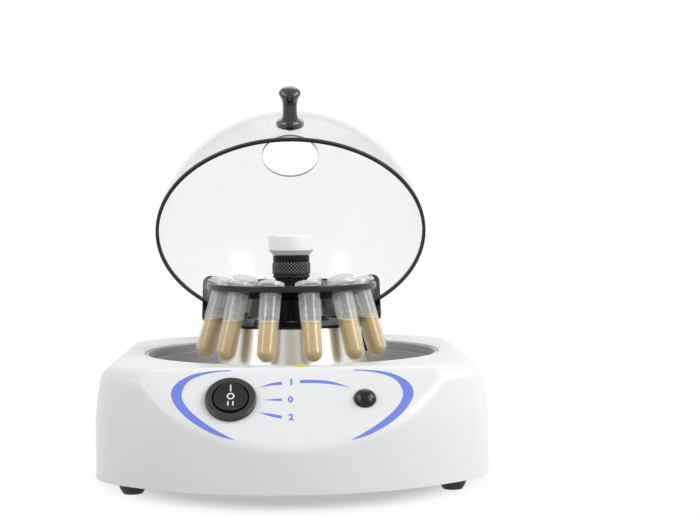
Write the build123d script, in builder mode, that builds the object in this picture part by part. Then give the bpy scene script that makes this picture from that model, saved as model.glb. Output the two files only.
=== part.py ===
from build123d import *
from math import asin, cos, radians, sin, sqrt, tan
import os

# Bench centrifuge with a vortex cup on its spindle and a hinged clear lid.
# Millimetres, +Z up. The origin is on the rotor axis, on the table under the feet.
# The sloping control panel faces -Y. The lid stands part open, as it is lifted.

# Body shell
BODY_WIDTH = 188.0
BODY_RADIUS = 117.5
BODY_CORNER_RADIUS = 32.0
BODY_TOP = 61.0
SHELL_WALL = 3.0
KNEE_HEIGHT = 37.0
KNEE_RADIUS = 60.0
SHOULDER_LEAN = 8.0
SHOULDER_RADIUS = 10.0
FOOT_HEIGHT = 7.0
WELL_RADIUS = 75.3
WELL_LIP_RADIUS = 1.2

# Sloping control panel
PANEL_SETBACK = 9.4
PANEL_SLOPE = 47.7
PANEL_EDGE_RADIUS = 8.0
CONTROL_ROW_DROP = 18.3

# Floor plate, feet and the pillars that they are screwed to
BASE_THICKNESS = 2.5
BASE_GAP = 0.3
FOOT_RADIUS = 7.0
FOOT_PAD_RADIUS = 4.6
FOOT_SPACING_X = 152.0
FOOT_SPACING_Y = 134.0
PILLAR_RADIUS = 4.5
BASE_SCREW_RADIUS = 1.4
BASE_SCREW_HEAD_RADIUS = 2.7
BASE_SCREW_HEAD_HEIGHT = 2.0
BASE_SCREW_RECESS = 2.0
BASE_SCREW_GRIP = 13.0
PILOT_HOLE_DEPTH = 15.0
VENT_COUNT = 6
VENT_PITCH = 6.0
VENT_WIDTH = 2.4
VENT_LENGTH = 26.0
VENT_ROW_Y = 52.0

# Grey bowl of the rotor well
BOWL_GAP = 0.3
BOWL_WALL = 1.2
BOWL_RIM_DROP = 0.8
LEDGE_DROP = 4.8
LEDGE_INNER_RADIUS = 70.5
LEDGE_THICKNESS = 1.5
BOWL_FLOOR_TOP = 35.5
BOWL_FLOOR_THICKNESS = 1.5
BOWL_FLOOR_OPENING = 31.0
BOWL_CORNER_RADIUS = 6.0
CARRIER_THICKNESS = 2.5

# Polished motor cover in the middle of the well, and its black top plate
COVER_TOP_RADIUS = 34.4
COVER_BASE_RADIUS = 42.3
COVER_WALL = 1.0
COVER_FLANGE_THICKNESS = 2.5
COVER_BASE_FLANGE_RADIUS = 33.0
COVER_TOP_FLANGE_RADIUS = 29.0
PLATE_TOP = 75.6
PLATE_THICKNESS = 1.3
PLATE_RADIUS = 34.9
PLATE_HOLE_RADIUS = 5.0
COVER_SCREW_CIRCLE_RADIUS = 36.6
COVER_SCREW_COUNT = 3
COVER_SCREW_RADIUS = 1.2

# Motor hung under the plate on four rubber washers
MOTOR_RADIUS = 24.5
MOTOR_LENGTH = 31.0
MOTOR_CAP_RADIUS = 12.0
MOTOR_CAP_LENGTH = 3.0
WASHER_THICKNESS = 1.5
WASHER_RADIUS = 4.2
MOTOR_SCREW_CIRCLE_RADIUS = 20.3
MOTOR_SCREW_COUNT = 4
MOTOR_SCREW_ANGLE = 37.0
MOTOR_SCREW_RADIUS = 1.2
MOTOR_SCREW_HEAD_RADIUS = 3.2
MOTOR_SCREW_HEAD_HEIGHT = 2.2
MOTOR_SCREW_DEPTH = 6.0
SCREW_HOLE_GAP = 0.3
FIT_GAP = 0.02

# Spindle and what turns on it
SPINDLE_RADIUS = 3.0
SPINDLE_DEPTH = 20.0
RUNNING_GAP = 0.06
HUB_GAP = 1.0
HUB_RADIUS = 11.0
HUB_RIB_COUNT = 12
HUB_GROOVE_RADIUS = 0.9
ROTOR_BOTTOM = 88.5
ROTOR_THICKNESS = 2.5
ROTOR_FLAT_RADIUS = 28.0
ROTOR_RADIUS = 43.7
ROTOR_RIM_TOP = 96.1
ROTOR_RIM_WIDTH = 1.8
ROTOR_CONE_ANGLE = 17.0
ROTOR_STEP = 1.0
TUBE_COUNT = 12
TUBE_PHASE = -1.5
TUBE_CIRCLE_RADIUS = 35.9
COLLAR_HEIGHT = 9.0
COLLAR_TOP_RADIUS = 6.2
COLLAR_FOOT_RADIUS = 5.2
RING_RADIUS = 9.85
RING_HEIGHT = 6.9
RING_CHAMFER = 0.9
RING_TOOTH_COUNT = 36
RING_TOOTH_DEPTH = 0.45
CARRIER_RADIUS = 9.45
CARRIER_HEIGHT = 3.1

# Vortex cup on its eccentric pin
ECCENTRICITY = 1.0
PIN_RADIUS = 1.9
CUP_GAP = 0.3
CUP_RADIUS = 11.9
CUP_FOOT_RADIUS = 9.5
CUP_FOOT_HEIGHT = 2.5
CUP_HEIGHT = 10.1
CUP_DISH_RADIUS = 9.6
CUP_DISH_DEPTH = 4.0
CUP_FLOOR = 1.2
BUSH_RADIUS = 4.0
BUSH_LENGTH = 4.4

# Sample tubes
TUBE_RADIUS = 5.4
TUBE_TIP_RADIUS = 5.1
TUBE_WALL = 0.9
TUBE_DEPTH = 36.6
TUBE_HOLE_GAP = 0.2
TUBE_SEAT_GAP = 0.2
TUBE_COLLAR_RADIUS = 6.0
TUBE_COLLAR_HEIGHT = 1.6
CAP_RADIUS = 6.5
CAP_HEIGHT = 2.2
CAP_PLUG_DEPTH = 2.6
CAP_FIT_GAP = 0.05
CAP_TAB_WIDTH = 6.0
CAP_TAB_LENGTH = 2.0
CAP_TAB_THICKNESS = 1.0
STRAP_WIDTH = 4.5
STRAP_THICKNESS = 0.9
SAMPLE_LEVEL = 79.0

# Clear lid, its edge seal, knob and hinge bracket
LID_OPEN_ANGLE = 44.0
LID_RADIUS = 72.5
LID_CENTRE_DROP = 8.5
LID_WALL = 1.5
LID_RIM_HEIGHT = 57.3
LID_HOLE_RADIUS = 15.8
SEAL_OVERHANG = 0.55
SEAL_INSET = 0.35
SEAL_BELOW = 0.8
SEAL_LAP = 0.5
SEAL_GAP = 0.12
KNOB_ANGLE = 72.0
KNOB_FLANGE_RADIUS = 7.2
KNOB_FLANGE_EDGE = 0.6
KNOB_NECK_RADIUS = 3.6
KNOB_NECK_HEIGHT = 9.5
KNOB_HEAD_RADIUS = 5.5
KNOB_LENGTH = 20.0
KNOB_SCREW_RADIUS = 1.5
KNOB_SCREW_GRIP = 7.0
KNOB_SCREW_HEAD_RADIUS = 2.8
SCREW_HEAD_GAP = 0.1
SCREW_HEAD_HEIGHT = 1.4
HINGE_Y = 92.0
HINGE_Z = 51.0
HINGE_PIN_RADIUS = 2.0
BRACKET_WIDTH = 99.6
BRACKET_THICKNESS = 3.5
BRACKET_BOTTOM = 47.5
BRACKET_TOP = 75.0
BRACKET_CORNER_RADIUS = 8.0
BRACKET_FIT = 0.05
BRACKET_SEAL_GAP = 0.35
BARREL_RADIUS = 4.6
BARREL_LENGTH = 94.0
ARM_WIDTH = 5.0
ARM_COUNT = 4
ARM_ROOT = 61.0
ARM_TOP = 55.5
BRACKET_SCREW_RADIUS = 1.4
BRACKET_SCREW_HEAD_RADIUS = 2.6
BRACKET_SCREW_GRIP = 2.4
BRACKET_SCREW_HEIGHT = 11.0
BRACKET_SCREW_ANGLES = (-33.0, -13.0, 13.0, 33.0)

# Pocket behind the well that takes the hinge
POCKET_END_GAP = 5.0
POCKET_FLOOR = 44.0
POCKET_BACK_GAP = 9.0
POCKET_FRONT = 48.0
POCKET_WALL = 2.5

# Round three-position rocker switch
SWITCH_X = -28.1
SWITCH_BEZEL_RADIUS = 11.75
SWITCH_BEZEL_HEIGHT = 2.2
SWITCH_BARREL_RADIUS = 10.0
SWITCH_BARREL_DEPTH = 19.0
SWITCH_RECESS_RADIUS = 8.6
SWITCH_RECESS_DEPTH = 6.2
ROCKER_RADIUS = 7.75
ROCKER_HEIGHT = 3.4
ROCKER_DIP = 1.3
ROCKER_DEPTH = 3.8
ROCKER_PIVOT_DEPTH = 1.5
TRUNNION_RADIUS = 1.0
TRUNNION_LENGTH = 18.8
BLADE_COUNT = 3
BLADE_WIDTH = 4.8
BLADE_THICKNESS = 0.8
BLADE_LENGTH = 6.0
BLADE_PITCH = 5.0

# Push button
BUTTON_X = 32.9
BUTTON_RADIUS = 4.95
BUTTON_GAP = 0.15
BUTTON_RISE = 0.9
BUTTON_DOME_HEIGHT = 2.6
BUTTON_FLANGE_RADIUS = 5.7
BUTTON_FLANGE_HEIGHT = 1.2
BUTTON_STOP_GAP = 0.3
BUTTON_BOX_RADIUS = 7.4
BUTTON_BOX_DEPTH = 10.0
BUTTON_BOX_FLOOR = 1.2
SPRING_RADIUS = 3.6
SPRING_WIRE = 0.6
SPRING_TURNS = 4
SPRING_SEAT_GAP = 0.1

# Power inlet in the rear wall
INLET_HEIGHT = 24.0
INLET_FLANGE_RADIUS = 6.0
INLET_FLANGE_THICKNESS = 1.5
INLET_BARREL_RADIUS = 4.0
INLET_LENGTH = 13.0
INLET_BORE_RADIUS = 2.75
INLET_BORE_DEPTH = 10.0
INLET_PIN_RADIUS = 1.0
INLET_FLAT_DEPTH = 2.0
INLET_FLAT_GAP = 1.0
INLET_BOSS_SIZE = 18.0
INLET_BOSS_DEPTH = 6.0
NUT_RADIUS = 6.4
NUT_THICKNESS = 2.0

# Control board on the floor plate
BOARD_LENGTH = 76.0
BOARD_WIDTH = 44.0
BOARD_THICKNESS = 1.6
BOARD_Y = -44.0
STANDOFF_HEIGHT = 6.0
STANDOFF_RADIUS = 2.6
STANDOFF_INSET = 4.0
BOARD_SCREW_RADIUS = 1.25
BOARD_SCREW_HEAD_RADIUS = 2.2
BOARD_SCREW_HEAD_HEIGHT = 1.6
BOARD_SCREW_LENGTH = 6.0
BOARD_BLOCKS = (
    ((-20.0, 4.0), (12.0, 12.0), 2.4),
    ((4.0, -14.0), (18.0, 7.0), 7.0),
    ((26.0, 2.0), (9.0, 4.0), 11.0),
    ((-2.0, 6.0), (8.0, 6.0), 1.8),
)
BOARD_CANS = (
    ((-24.0, -12.0), 4.0, 11.0),
    ((12.0, 8.0), 5.0, 12.5),
)

# Places worked out from the sizes above
PANEL_TOP_FRONT = (BODY_RADIUS + WELL_RADIUS) / 2 - PANEL_SETBACK
BASE_TOP = FOOT_HEIGHT + BASE_THICKNESS
LEDGE_TOP = BODY_TOP - LEDGE_DROP
BOWL_RADIUS = WELL_RADIUS - BOWL_GAP
BOWL_FLOOR_BOTTOM = BOWL_FLOOR_TOP - BOWL_FLOOR_THICKNESS
LEDGE_BOTTOM = LEDGE_TOP - LEDGE_THICKNESS
BOWL_NECK_RADIUS = LEDGE_INNER_RADIUS + LEDGE_THICKNESS
PLATE_BOTTOM = PLATE_TOP - PLATE_THICKNESS
MOTOR_TOP = PLATE_BOTTOM - WASHER_THICKNESS
ROTOR_TOP = ROTOR_BOTTOM + ROTOR_THICKNESS
CONE_THICKNESS = ROTOR_THICKNESS / cos(radians(ROTOR_CONE_ANGLE))
CONE_RISE = tan(radians(ROTOR_CONE_ANGLE))
COLLAR_TOP = ROTOR_TOP + COLLAR_HEIGHT
RING_TOP = COLLAR_TOP + RING_HEIGHT
CARRIER_TOP = RING_TOP + CARRIER_HEIGHT
CUP_BOTTOM = CARRIER_TOP + CUP_GAP
CUP_TOP = CUP_BOTTOM + CUP_HEIGHT
POCKET_WIDTH = BARREL_LENGTH + 2 * POCKET_END_GAP
POCKET_BACK = HINGE_Y + POCKET_BACK_GAP
ARM_PITCH = (BARREL_LENGTH - 2 * ARM_WIDTH) / (ARM_COUNT - 1)
LID_CENTRE_HEIGHT = LID_RIM_HEIGHT - LID_CENTRE_DROP
LID_RIM_RADIUS = sqrt(LID_RADIUS**2 - LID_CENTRE_DROP**2)

# Frames: the panel's own plane, the hinge axis and one tube's axis in the rotor
panel = Plane(
    origin=(0, -PANEL_TOP_FRONT, BODY_TOP),
    x_dir=(1, 0, 0),
    z_dir=(0, -sin(radians(PANEL_SLOPE)), cos(radians(PANEL_SLOPE))),
)
switch_plane = Plane(panel.from_local_coords((SWITCH_X, -CONTROL_ROW_DROP, 0)), panel.x_dir, panel.z_dir)
button_plane = Plane(panel.from_local_coords((BUTTON_X, -CONTROL_ROW_DROP, 0)), panel.x_dir, panel.z_dir)
pivot_plane = Plane(
    switch_plane.from_local_coords((0, 0, -ROCKER_PIVOT_DEPTH)), switch_plane.y_dir, switch_plane.x_dir
)
hinge_axis = Axis((0, HINGE_Y, HINGE_Z), (-1, 0, 0))
tube_seat = Plane(
    origin=(
        TUBE_CIRCLE_RADIUS,
        0,
        ROTOR_BOTTOM + (TUBE_CIRCLE_RADIUS - ROTOR_FLAT_RADIUS) * CONE_RISE + CONE_THICKNESS,
    ),
    x_dir=(0, 1, 0),
    z_dir=(-sin(radians(ROTOR_CONE_ANGLE)), 0, cos(radians(ROTOR_CONE_ANGLE))),
)
FIRST_TUBE_ANGLE = -90 + TUBE_PHASE + 180 / TUBE_COUNT


def finish(piece, name):
    """Label one finished piece and write it as its own STEP file."""
    piece.label = name
    export_step(piece, f"parts/{name}.step")


def lifted(builder):
    """The closed lid's piece, turned about the hinge to the open angle that is shown."""
    return builder.part.rotate(hinge_axis, LID_OPEN_ANGLE)


os.makedirs("parts", exist_ok=True)

# Plan of the body: a circle cut to the width, with rounded corners
with BuildSketch() as body_plan:
    Circle(BODY_RADIUS)
    Rectangle(BODY_WIDTH, 2 * BODY_RADIUS, mode=Mode.INTERSECT)
    fillet(body_plan.vertices(), BODY_CORNER_RADIUS)

# Outer form of the body: upright below, leaning in above a soft knee, with a rounded
# shoulder and the sloping panel cut in its front
with BuildPart() as body_form:
    with BuildSketch(Plane.XY.offset(FOOT_HEIGHT)):
        add(body_plan.sketch)
    extrude(amount=KNEE_HEIGHT - FOOT_HEIGHT)
    with BuildSketch(Plane.XY.offset(KNEE_HEIGHT)):
        add(body_plan.sketch)
    extrude(amount=BODY_TOP - KNEE_HEIGHT, taper=SHOULDER_LEAN)
    fillet(body_form.edges().filter_by_position(Axis.Z, KNEE_HEIGHT, KNEE_HEIGHT), KNEE_RADIUS)
    split(bisect_by=panel, keep=Keep.BOTTOM)
    top_face = body_form.faces().sort_by(Axis.Z)[-1]
    fillet(top_face.edges().sort_by(Axis.Y)[1:], SHOULDER_RADIUS)
    panel_face = body_form.faces().filter_by(Axis(panel.origin, panel.z_dir))[0]
    fillet(panel_face.edges(), PANEL_EDGE_RADIUS)

# Walls inside the shell: the screw pillars and the hinge pocket, trimmed to the outer form
with BuildPart() as inner_walls:
    with BuildSketch(Plane.XY.offset(BASE_TOP)):
        with GridLocations(FOOT_SPACING_X, FOOT_SPACING_Y, 2, 2):
            Circle(PILLAR_RADIUS)
    extrude(amount=BODY_TOP - BASE_TOP)
    with BuildSketch(Plane.XY.offset(POCKET_FLOOR - POCKET_WALL)):
        with Locations((0, (POCKET_FRONT + POCKET_BACK + POCKET_WALL) / 2)):
            Rectangle(POCKET_WIDTH + 2 * POCKET_WALL, POCKET_BACK + POCKET_WALL - POCKET_FRONT)
    extrude(amount=BODY_TOP - POCKET_FLOOR + POCKET_WALL)
    with BuildSketch(Plane.XZ.offset(INLET_BOSS_DEPTH - BODY_RADIUS)):
        with Locations((0, INLET_HEIGHT)):
            Rectangle(INLET_BOSS_SIZE, INLET_BOSS_SIZE)
    extrude(amount=-INLET_BOSS_DEPTH)
    add(body_form.part, mode=Mode.INTERSECT)

# Housing: the moulded top shell
with BuildPart() as housing:
    add(body_form.part)
    offset(amount=-SHELL_WALL, openings=housing.faces().sort_by(Axis.Z)[0])
    add(inner_walls.part)
    with BuildSketch(Plane.XY.offset(LEDGE_BOTTOM - CARRIER_THICKNESS)):
        Circle(WELL_RADIUS + SHELL_WALL)
    extrude(amount=BODY_TOP - SHELL_WALL - LEDGE_BOTTOM + CARRIER_THICKNESS)
    with BuildSketch(Plane.XY.offset(BASE_TOP)):
        with GridLocations(FOOT_SPACING_X, FOOT_SPACING_Y, 2, 2):
            Circle(BASE_SCREW_RADIUS + FIT_GAP)
    extrude(amount=PILOT_HOLE_DEPTH, mode=Mode.SUBTRACT)
    # round opening of the well, with a seat for the bowl's ledge
    with BuildSketch(Plane.XY.offset(LEDGE_BOTTOM)):
        Circle(WELL_RADIUS)
    extrude(amount=BODY_TOP, mode=Mode.SUBTRACT)
    with BuildSketch(Plane.XY.offset(POCKET_FLOOR - 2 * POCKET_WALL)):
        Circle(BOWL_NECK_RADIUS + BOWL_GAP)
    extrude(amount=BODY_TOP, mode=Mode.SUBTRACT)
    well_edge = housing.edges().filter_by(GeomType.CIRCLE).group_by(Axis.Z)[-1]
    fillet(well_edge, WELL_LIP_RADIUS)
    # hinge pocket behind the well
    with BuildSketch(Plane.XY.offset(POCKET_FLOOR)):
        with Locations((0, (POCKET_FRONT + POCKET_BACK) / 2)):
            Rectangle(POCKET_WIDTH, POCKET_BACK - POCKET_FRONT)
    extrude(amount=BODY_TOP, mode=Mode.SUBTRACT)
    with BuildSketch(Plane.YZ):
        with Locations((HINGE_Y, HINGE_Z)):
            Circle(HINGE_PIN_RADIUS + FIT_GAP)
    extrude(amount=POCKET_WIDTH / 2 + POCKET_WALL, both=True, mode=Mode.SUBTRACT)
    # openings of the switch and the button in the panel
    with BuildSketch(switch_plane):
        Circle(SWITCH_BARREL_RADIUS + BUTTON_GAP)
    extrude(amount=-2 * SHELL_WALL, mode=Mode.SUBTRACT)
    with BuildSketch(button_plane):
        Circle(BUTTON_RADIUS + BUTTON_GAP)
    extrude(amount=-2 * SHELL_WALL, mode=Mode.SUBTRACT)
    # flat and hole of the power inlet in the rear wall
    with BuildSketch(Plane.XZ.offset(-BODY_RADIUS)):
        with Locations((0, INLET_HEIGHT)):
            Circle(INLET_FLANGE_RADIUS + INLET_FLAT_GAP)
    extrude(amount=INLET_FLAT_DEPTH, mode=Mode.SUBTRACT)
    with BuildSketch(Plane.XZ.offset(-BODY_RADIUS)):
        with Locations((0, INLET_HEIGHT)):
            Circle(INLET_BARREL_RADIUS + FIT_GAP)
    extrude(amount=INLET_BOSS_DEPTH, mode=Mode.SUBTRACT)
finish(housing.part, "housing")

# Floor plate, set inside the shell's lower edge
with BuildPart() as base_plate:
    with BuildSketch(Plane.XY.offset(FOOT_HEIGHT)):
        add(body_plan.sketch)
        offset(amount=-SHELL_WALL - BASE_GAP, mode=Mode.REPLACE)
        with GridLocations(FOOT_SPACING_X, FOOT_SPACING_Y, 2, 2):
            Circle(BASE_SCREW_RADIUS + SCREW_HOLE_GAP, mode=Mode.SUBTRACT)
        with GridLocations(VENT_PITCH, 2 * VENT_ROW_Y, VENT_COUNT, 2):
            SlotOverall(VENT_LENGTH, VENT_WIDTH, rotation=90, mode=Mode.SUBTRACT)
    extrude(amount=BASE_THICKNESS)
finish(base_plate.part, "base_plate")

# One domed rubber foot, with a recess for its screw
with BuildPart() as foot:
    with BuildSketch(Plane.XZ):
        with BuildLine():
            recess_top = BASE_SCREW_RECESS + BASE_SCREW_HEAD_HEIGHT
            hole_radius = BASE_SCREW_RADIUS + SCREW_HOLE_GAP
            recess_radius = BASE_SCREW_HEAD_RADIUS + SCREW_HOLE_GAP
            side = TangentArc((FOOT_RADIUS, FOOT_HEIGHT), (FOOT_PAD_RADIUS, 0), tangent=(0, -1))
            Polyline(
                side @ 1,
                (recess_radius, 0),
                (recess_radius, recess_top),
                (hole_radius, recess_top),
                (hole_radius, FOOT_HEIGHT),
                side @ 0,
            )
        make_face()
    revolve(axis=Axis.Z)

with BuildPart() as feet:
    with GridLocations(FOOT_SPACING_X, FOOT_SPACING_Y, 2, 2):
        add(foot.part)
finish(feet.part, "feet")

# Screws through the feet and the floor plate into the pillars
with BuildPart() as base_screws:
    with BuildSketch(Plane.XY.offset(BASE_SCREW_RECESS)):
        with GridLocations(FOOT_SPACING_X, FOOT_SPACING_Y, 2, 2):
            Circle(BASE_SCREW_HEAD_RADIUS)
    extrude(amount=BASE_SCREW_HEAD_HEIGHT)
    with BuildSketch(Plane.XY.offset(BASE_SCREW_RECESS + BASE_SCREW_HEAD_HEIGHT)):
        with GridLocations(FOOT_SPACING_X, FOOT_SPACING_Y, 2, 2):
            Circle(BASE_SCREW_RADIUS)
    extrude(amount=BASE_TOP + BASE_SCREW_GRIP - BASE_SCREW_RECESS - BASE_SCREW_HEAD_HEIGHT)
finish(base_screws.part, "base_screws")

# Grey bowl that lines the well: rim, ledge for the lid, wall and floor
with BuildPart() as well_bowl:
    with BuildSketch(Plane.XZ):
        Polygon(
            (BOWL_RADIUS, BODY_TOP - BOWL_RIM_DROP),
            (BOWL_RADIUS, LEDGE_BOTTOM),
            (BOWL_NECK_RADIUS, LEDGE_BOTTOM),
            (BOWL_NECK_RADIUS, BOWL_FLOOR_BOTTOM),
            (BOWL_FLOOR_OPENING, BOWL_FLOOR_BOTTOM),
            (BOWL_FLOOR_OPENING, BOWL_FLOOR_TOP),
            (LEDGE_INNER_RADIUS, BOWL_FLOOR_TOP),
            (LEDGE_INNER_RADIUS, LEDGE_TOP),
            (BOWL_RADIUS - BOWL_WALL, LEDGE_TOP),
            (BOWL_RADIUS - BOWL_WALL, BODY_TOP - BOWL_RIM_DROP),
            align=None,
        )
    revolve(axis=Axis.Z)
    rings = well_bowl.edges().filter_by(GeomType.CIRCLE)
    fillet(rings.filter_by_position(Axis.Z, BOWL_FLOOR_TOP, BOWL_FLOOR_TOP).sort_by(SortBy.RADIUS)[-1],
           BOWL_CORNER_RADIUS)
    rings = well_bowl.edges().filter_by(GeomType.CIRCLE)
    fillet(rings.filter_by_position(Axis.Z, BOWL_FLOOR_BOTTOM, BOWL_FLOOR_BOTTOM).sort_by(SortBy.RADIUS)[-1],
           BOWL_CORNER_RADIUS + BOWL_FLOOR_THICKNESS)
    with BuildSketch(Plane.XY.offset(LEDGE_BOTTOM)):
        with Locations((0, (POCKET_FRONT + POCKET_BACK) / 2)):
            Rectangle(POCKET_WIDTH, POCKET_BACK - POCKET_FRONT)
    extrude(amount=BODY_TOP, mode=Mode.SUBTRACT)
    with BuildSketch(Plane.XY.offset(BOWL_FLOOR_BOTTOM)):
        with PolarLocations(COVER_SCREW_CIRCLE_RADIUS, COVER_SCREW_COUNT, start_angle=90):
            Circle(COVER_SCREW_RADIUS + SCREW_HOLE_GAP)
    extrude(amount=BOWL_FLOOR_THICKNESS, mode=Mode.SUBTRACT)
finish(well_bowl.part, "well_bowl")

# Polished motor cover: a thin tapered shell with a flange at each end
with BuildPart() as motor_cover:
    with BuildSketch(Plane.XZ):
        Polygon(
            (COVER_BASE_RADIUS, BOWL_FLOOR_TOP),
            (COVER_TOP_RADIUS, PLATE_BOTTOM),
            (COVER_TOP_FLANGE_RADIUS, PLATE_BOTTOM),
            (COVER_TOP_FLANGE_RADIUS, PLATE_BOTTOM - COVER_WALL),
            (COVER_TOP_RADIUS - COVER_WALL, PLATE_BOTTOM - COVER_WALL),
            (COVER_BASE_RADIUS - COVER_WALL, BOWL_FLOOR_TOP + COVER_FLANGE_THICKNESS),
            (COVER_BASE_FLANGE_RADIUS, BOWL_FLOOR_TOP + COVER_FLANGE_THICKNESS),
            (COVER_BASE_FLANGE_RADIUS, BOWL_FLOOR_TOP),
            align=None,
        )
    revolve(axis=Axis.Z)
    with BuildSketch(Plane.XY.offset(BOWL_FLOOR_TOP)):
        with PolarLocations(COVER_SCREW_CIRCLE_RADIUS, COVER_SCREW_COUNT, start_angle=90):
            Circle(COVER_SCREW_RADIUS + FIT_GAP)
    extrude(amount=COVER_FLANGE_THICKNESS, mode=Mode.SUBTRACT)
finish(motor_cover.part, "motor_cover")

# Screws that hold the motor cover from under the bowl's floor
with BuildPart() as cover_screws:
    with BuildSketch(Plane.XY.offset(BOWL_FLOOR_BOTTOM)):
        with PolarLocations(COVER_SCREW_CIRCLE_RADIUS, COVER_SCREW_COUNT, start_angle=90):
            Circle(2 * COVER_SCREW_RADIUS)
    extrude(amount=-2 * COVER_SCREW_RADIUS + FIT_GAP)
    with BuildSketch(Plane.XY.offset(BOWL_FLOOR_BOTTOM)):
        with PolarLocations(COVER_SCREW_CIRCLE_RADIUS, COVER_SCREW_COUNT, start_angle=90):
            Circle(COVER_SCREW_RADIUS)
    extrude(amount=BOWL_FLOOR_THICKNESS + COVER_FLANGE_THICKNESS)
finish(cover_screws.part, "cover_screws")

# Black plate on top of the cover, which carries the motor
with BuildPart() as top_plate:
    with BuildSketch(Plane.XY.offset(PLATE_BOTTOM)):
        Circle(PLATE_RADIUS)
        Circle(PLATE_HOLE_RADIUS, mode=Mode.SUBTRACT)
        with PolarLocations(MOTOR_SCREW_CIRCLE_RADIUS, MOTOR_SCREW_COUNT, start_angle=MOTOR_SCREW_ANGLE):
            Circle(MOTOR_SCREW_RADIUS + SCREW_HOLE_GAP, mode=Mode.SUBTRACT)
    extrude(amount=PLATE_THICKNESS)
    chamfer(top_plate.edges().filter_by(GeomType.CIRCLE).group_by(Axis.Z)[-1].sort_by(SortBy.RADIUS)[-1],
            PLATE_THICKNESS / 3)
finish(top_plate.part, "top_plate")

# Motor can with its rear cap, a bore for the spindle and tapped holes
with BuildPart() as motor:
    with BuildSketch(Plane.XY.offset(MOTOR_TOP)):
        Circle(MOTOR_RADIUS)
    extrude(amount=-MOTOR_LENGTH)
    fillet(motor.edges().filter_by(GeomType.CIRCLE), MOTOR_CAP_LENGTH / 2)
    with BuildSketch(Plane.XY.offset(MOTOR_TOP - MOTOR_LENGTH)):
        Circle(MOTOR_CAP_RADIUS)
    extrude(amount=-MOTOR_CAP_LENGTH)
    with BuildSketch(Plane.XY.offset(MOTOR_TOP)):
        Circle(SPINDLE_RADIUS + RUNNING_GAP)
    extrude(amount=-SPINDLE_DEPTH - HUB_GAP, mode=Mode.SUBTRACT)
    with BuildSketch(Plane.XY.offset(MOTOR_TOP)):
        with PolarLocations(MOTOR_SCREW_CIRCLE_RADIUS, MOTOR_SCREW_COUNT, start_angle=MOTOR_SCREW_ANGLE):
            Circle(MOTOR_SCREW_RADIUS + FIT_GAP)
    extrude(amount=-MOTOR_SCREW_DEPTH - HUB_GAP, mode=Mode.SUBTRACT)
finish(motor.part, "motor")

# Rubber washers between the motor and the plate
with BuildPart() as motor_washers:
    with BuildSketch(Plane.XY.offset(MOTOR_TOP)):
        with PolarLocations(MOTOR_SCREW_CIRCLE_RADIUS, MOTOR_SCREW_COUNT, start_angle=MOTOR_SCREW_ANGLE):
            Circle(WASHER_RADIUS)
            Circle(MOTOR_SCREW_RADIUS + SCREW_HOLE_GAP, mode=Mode.SUBTRACT)
    extrude(amount=WASHER_THICKNESS)
finish(motor_washers.part, "motor_washers")

# Black domed screws that hold the motor up against the plate
with BuildPart() as motor_screws:
    with BuildSketch(Plane.XY.offset(PLATE_TOP)):
        with PolarLocations(MOTOR_SCREW_CIRCLE_RADIUS, MOTOR_SCREW_COUNT, start_angle=MOTOR_SCREW_ANGLE):
            Circle(MOTOR_SCREW_HEAD_RADIUS)
    extrude(amount=MOTOR_SCREW_HEAD_HEIGHT)
    fillet(motor_screws.edges().group_by(Axis.Z)[-1], MOTOR_SCREW_HEAD_HEIGHT * 0.7)
    with BuildSketch(Plane.XY.offset(PLATE_TOP)):
        with PolarLocations(MOTOR_SCREW_CIRCLE_RADIUS, MOTOR_SCREW_COUNT, start_angle=MOTOR_SCREW_ANGLE):
            Circle(MOTOR_SCREW_RADIUS)
    extrude(amount=MOTOR_TOP - MOTOR_SCREW_DEPTH - PLATE_TOP)
finish(motor_screws.part, "motor_screws")

# Steel spindle, with the vortex cup's eccentric pin turned on its end
with BuildPart() as spindle:
    with BuildSketch(Plane.XY.offset(MOTOR_TOP - SPINDLE_DEPTH)):
        Circle(SPINDLE_RADIUS)
    extrude(amount=CARRIER_TOP - CARRIER_HEIGHT / 2 - MOTOR_TOP + SPINDLE_DEPTH)
    with BuildSketch(Plane.XY.offset(CARRIER_TOP - CARRIER_HEIGHT / 2)):
        with Locations((0, ECCENTRICITY)):
            Circle(PIN_RADIUS)
    extrude(amount=CARRIER_HEIGHT / 2 + CUP_GAP + BUSH_LENGTH)
finish(spindle.part, "spindle")

# Fluted black hub under the rotor
with BuildPart() as rotor_hub:
    with BuildSketch(Plane.XY.offset(PLATE_TOP + HUB_GAP)):
        Circle(HUB_RADIUS)
        with PolarLocations(HUB_RADIUS, HUB_RIB_COUNT):
            Circle(HUB_GROOVE_RADIUS, mode=Mode.SUBTRACT)
        Circle(SPINDLE_RADIUS + FIT_GAP, mode=Mode.SUBTRACT)
    extrude(amount=ROTOR_BOTTOM - PLATE_TOP - HUB_GAP)
finish(rotor_hub.part, "rotor_hub")

# One slanted tube hole of the rotor, at the front of its own axis
with BuildPart() as tube_hole:
    with BuildSketch(tube_seat):
        Circle(TUBE_RADIUS + TUBE_HOLE_GAP)
    extrude(amount=2 * ROTOR_THICKNESS, both=True)

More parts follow.
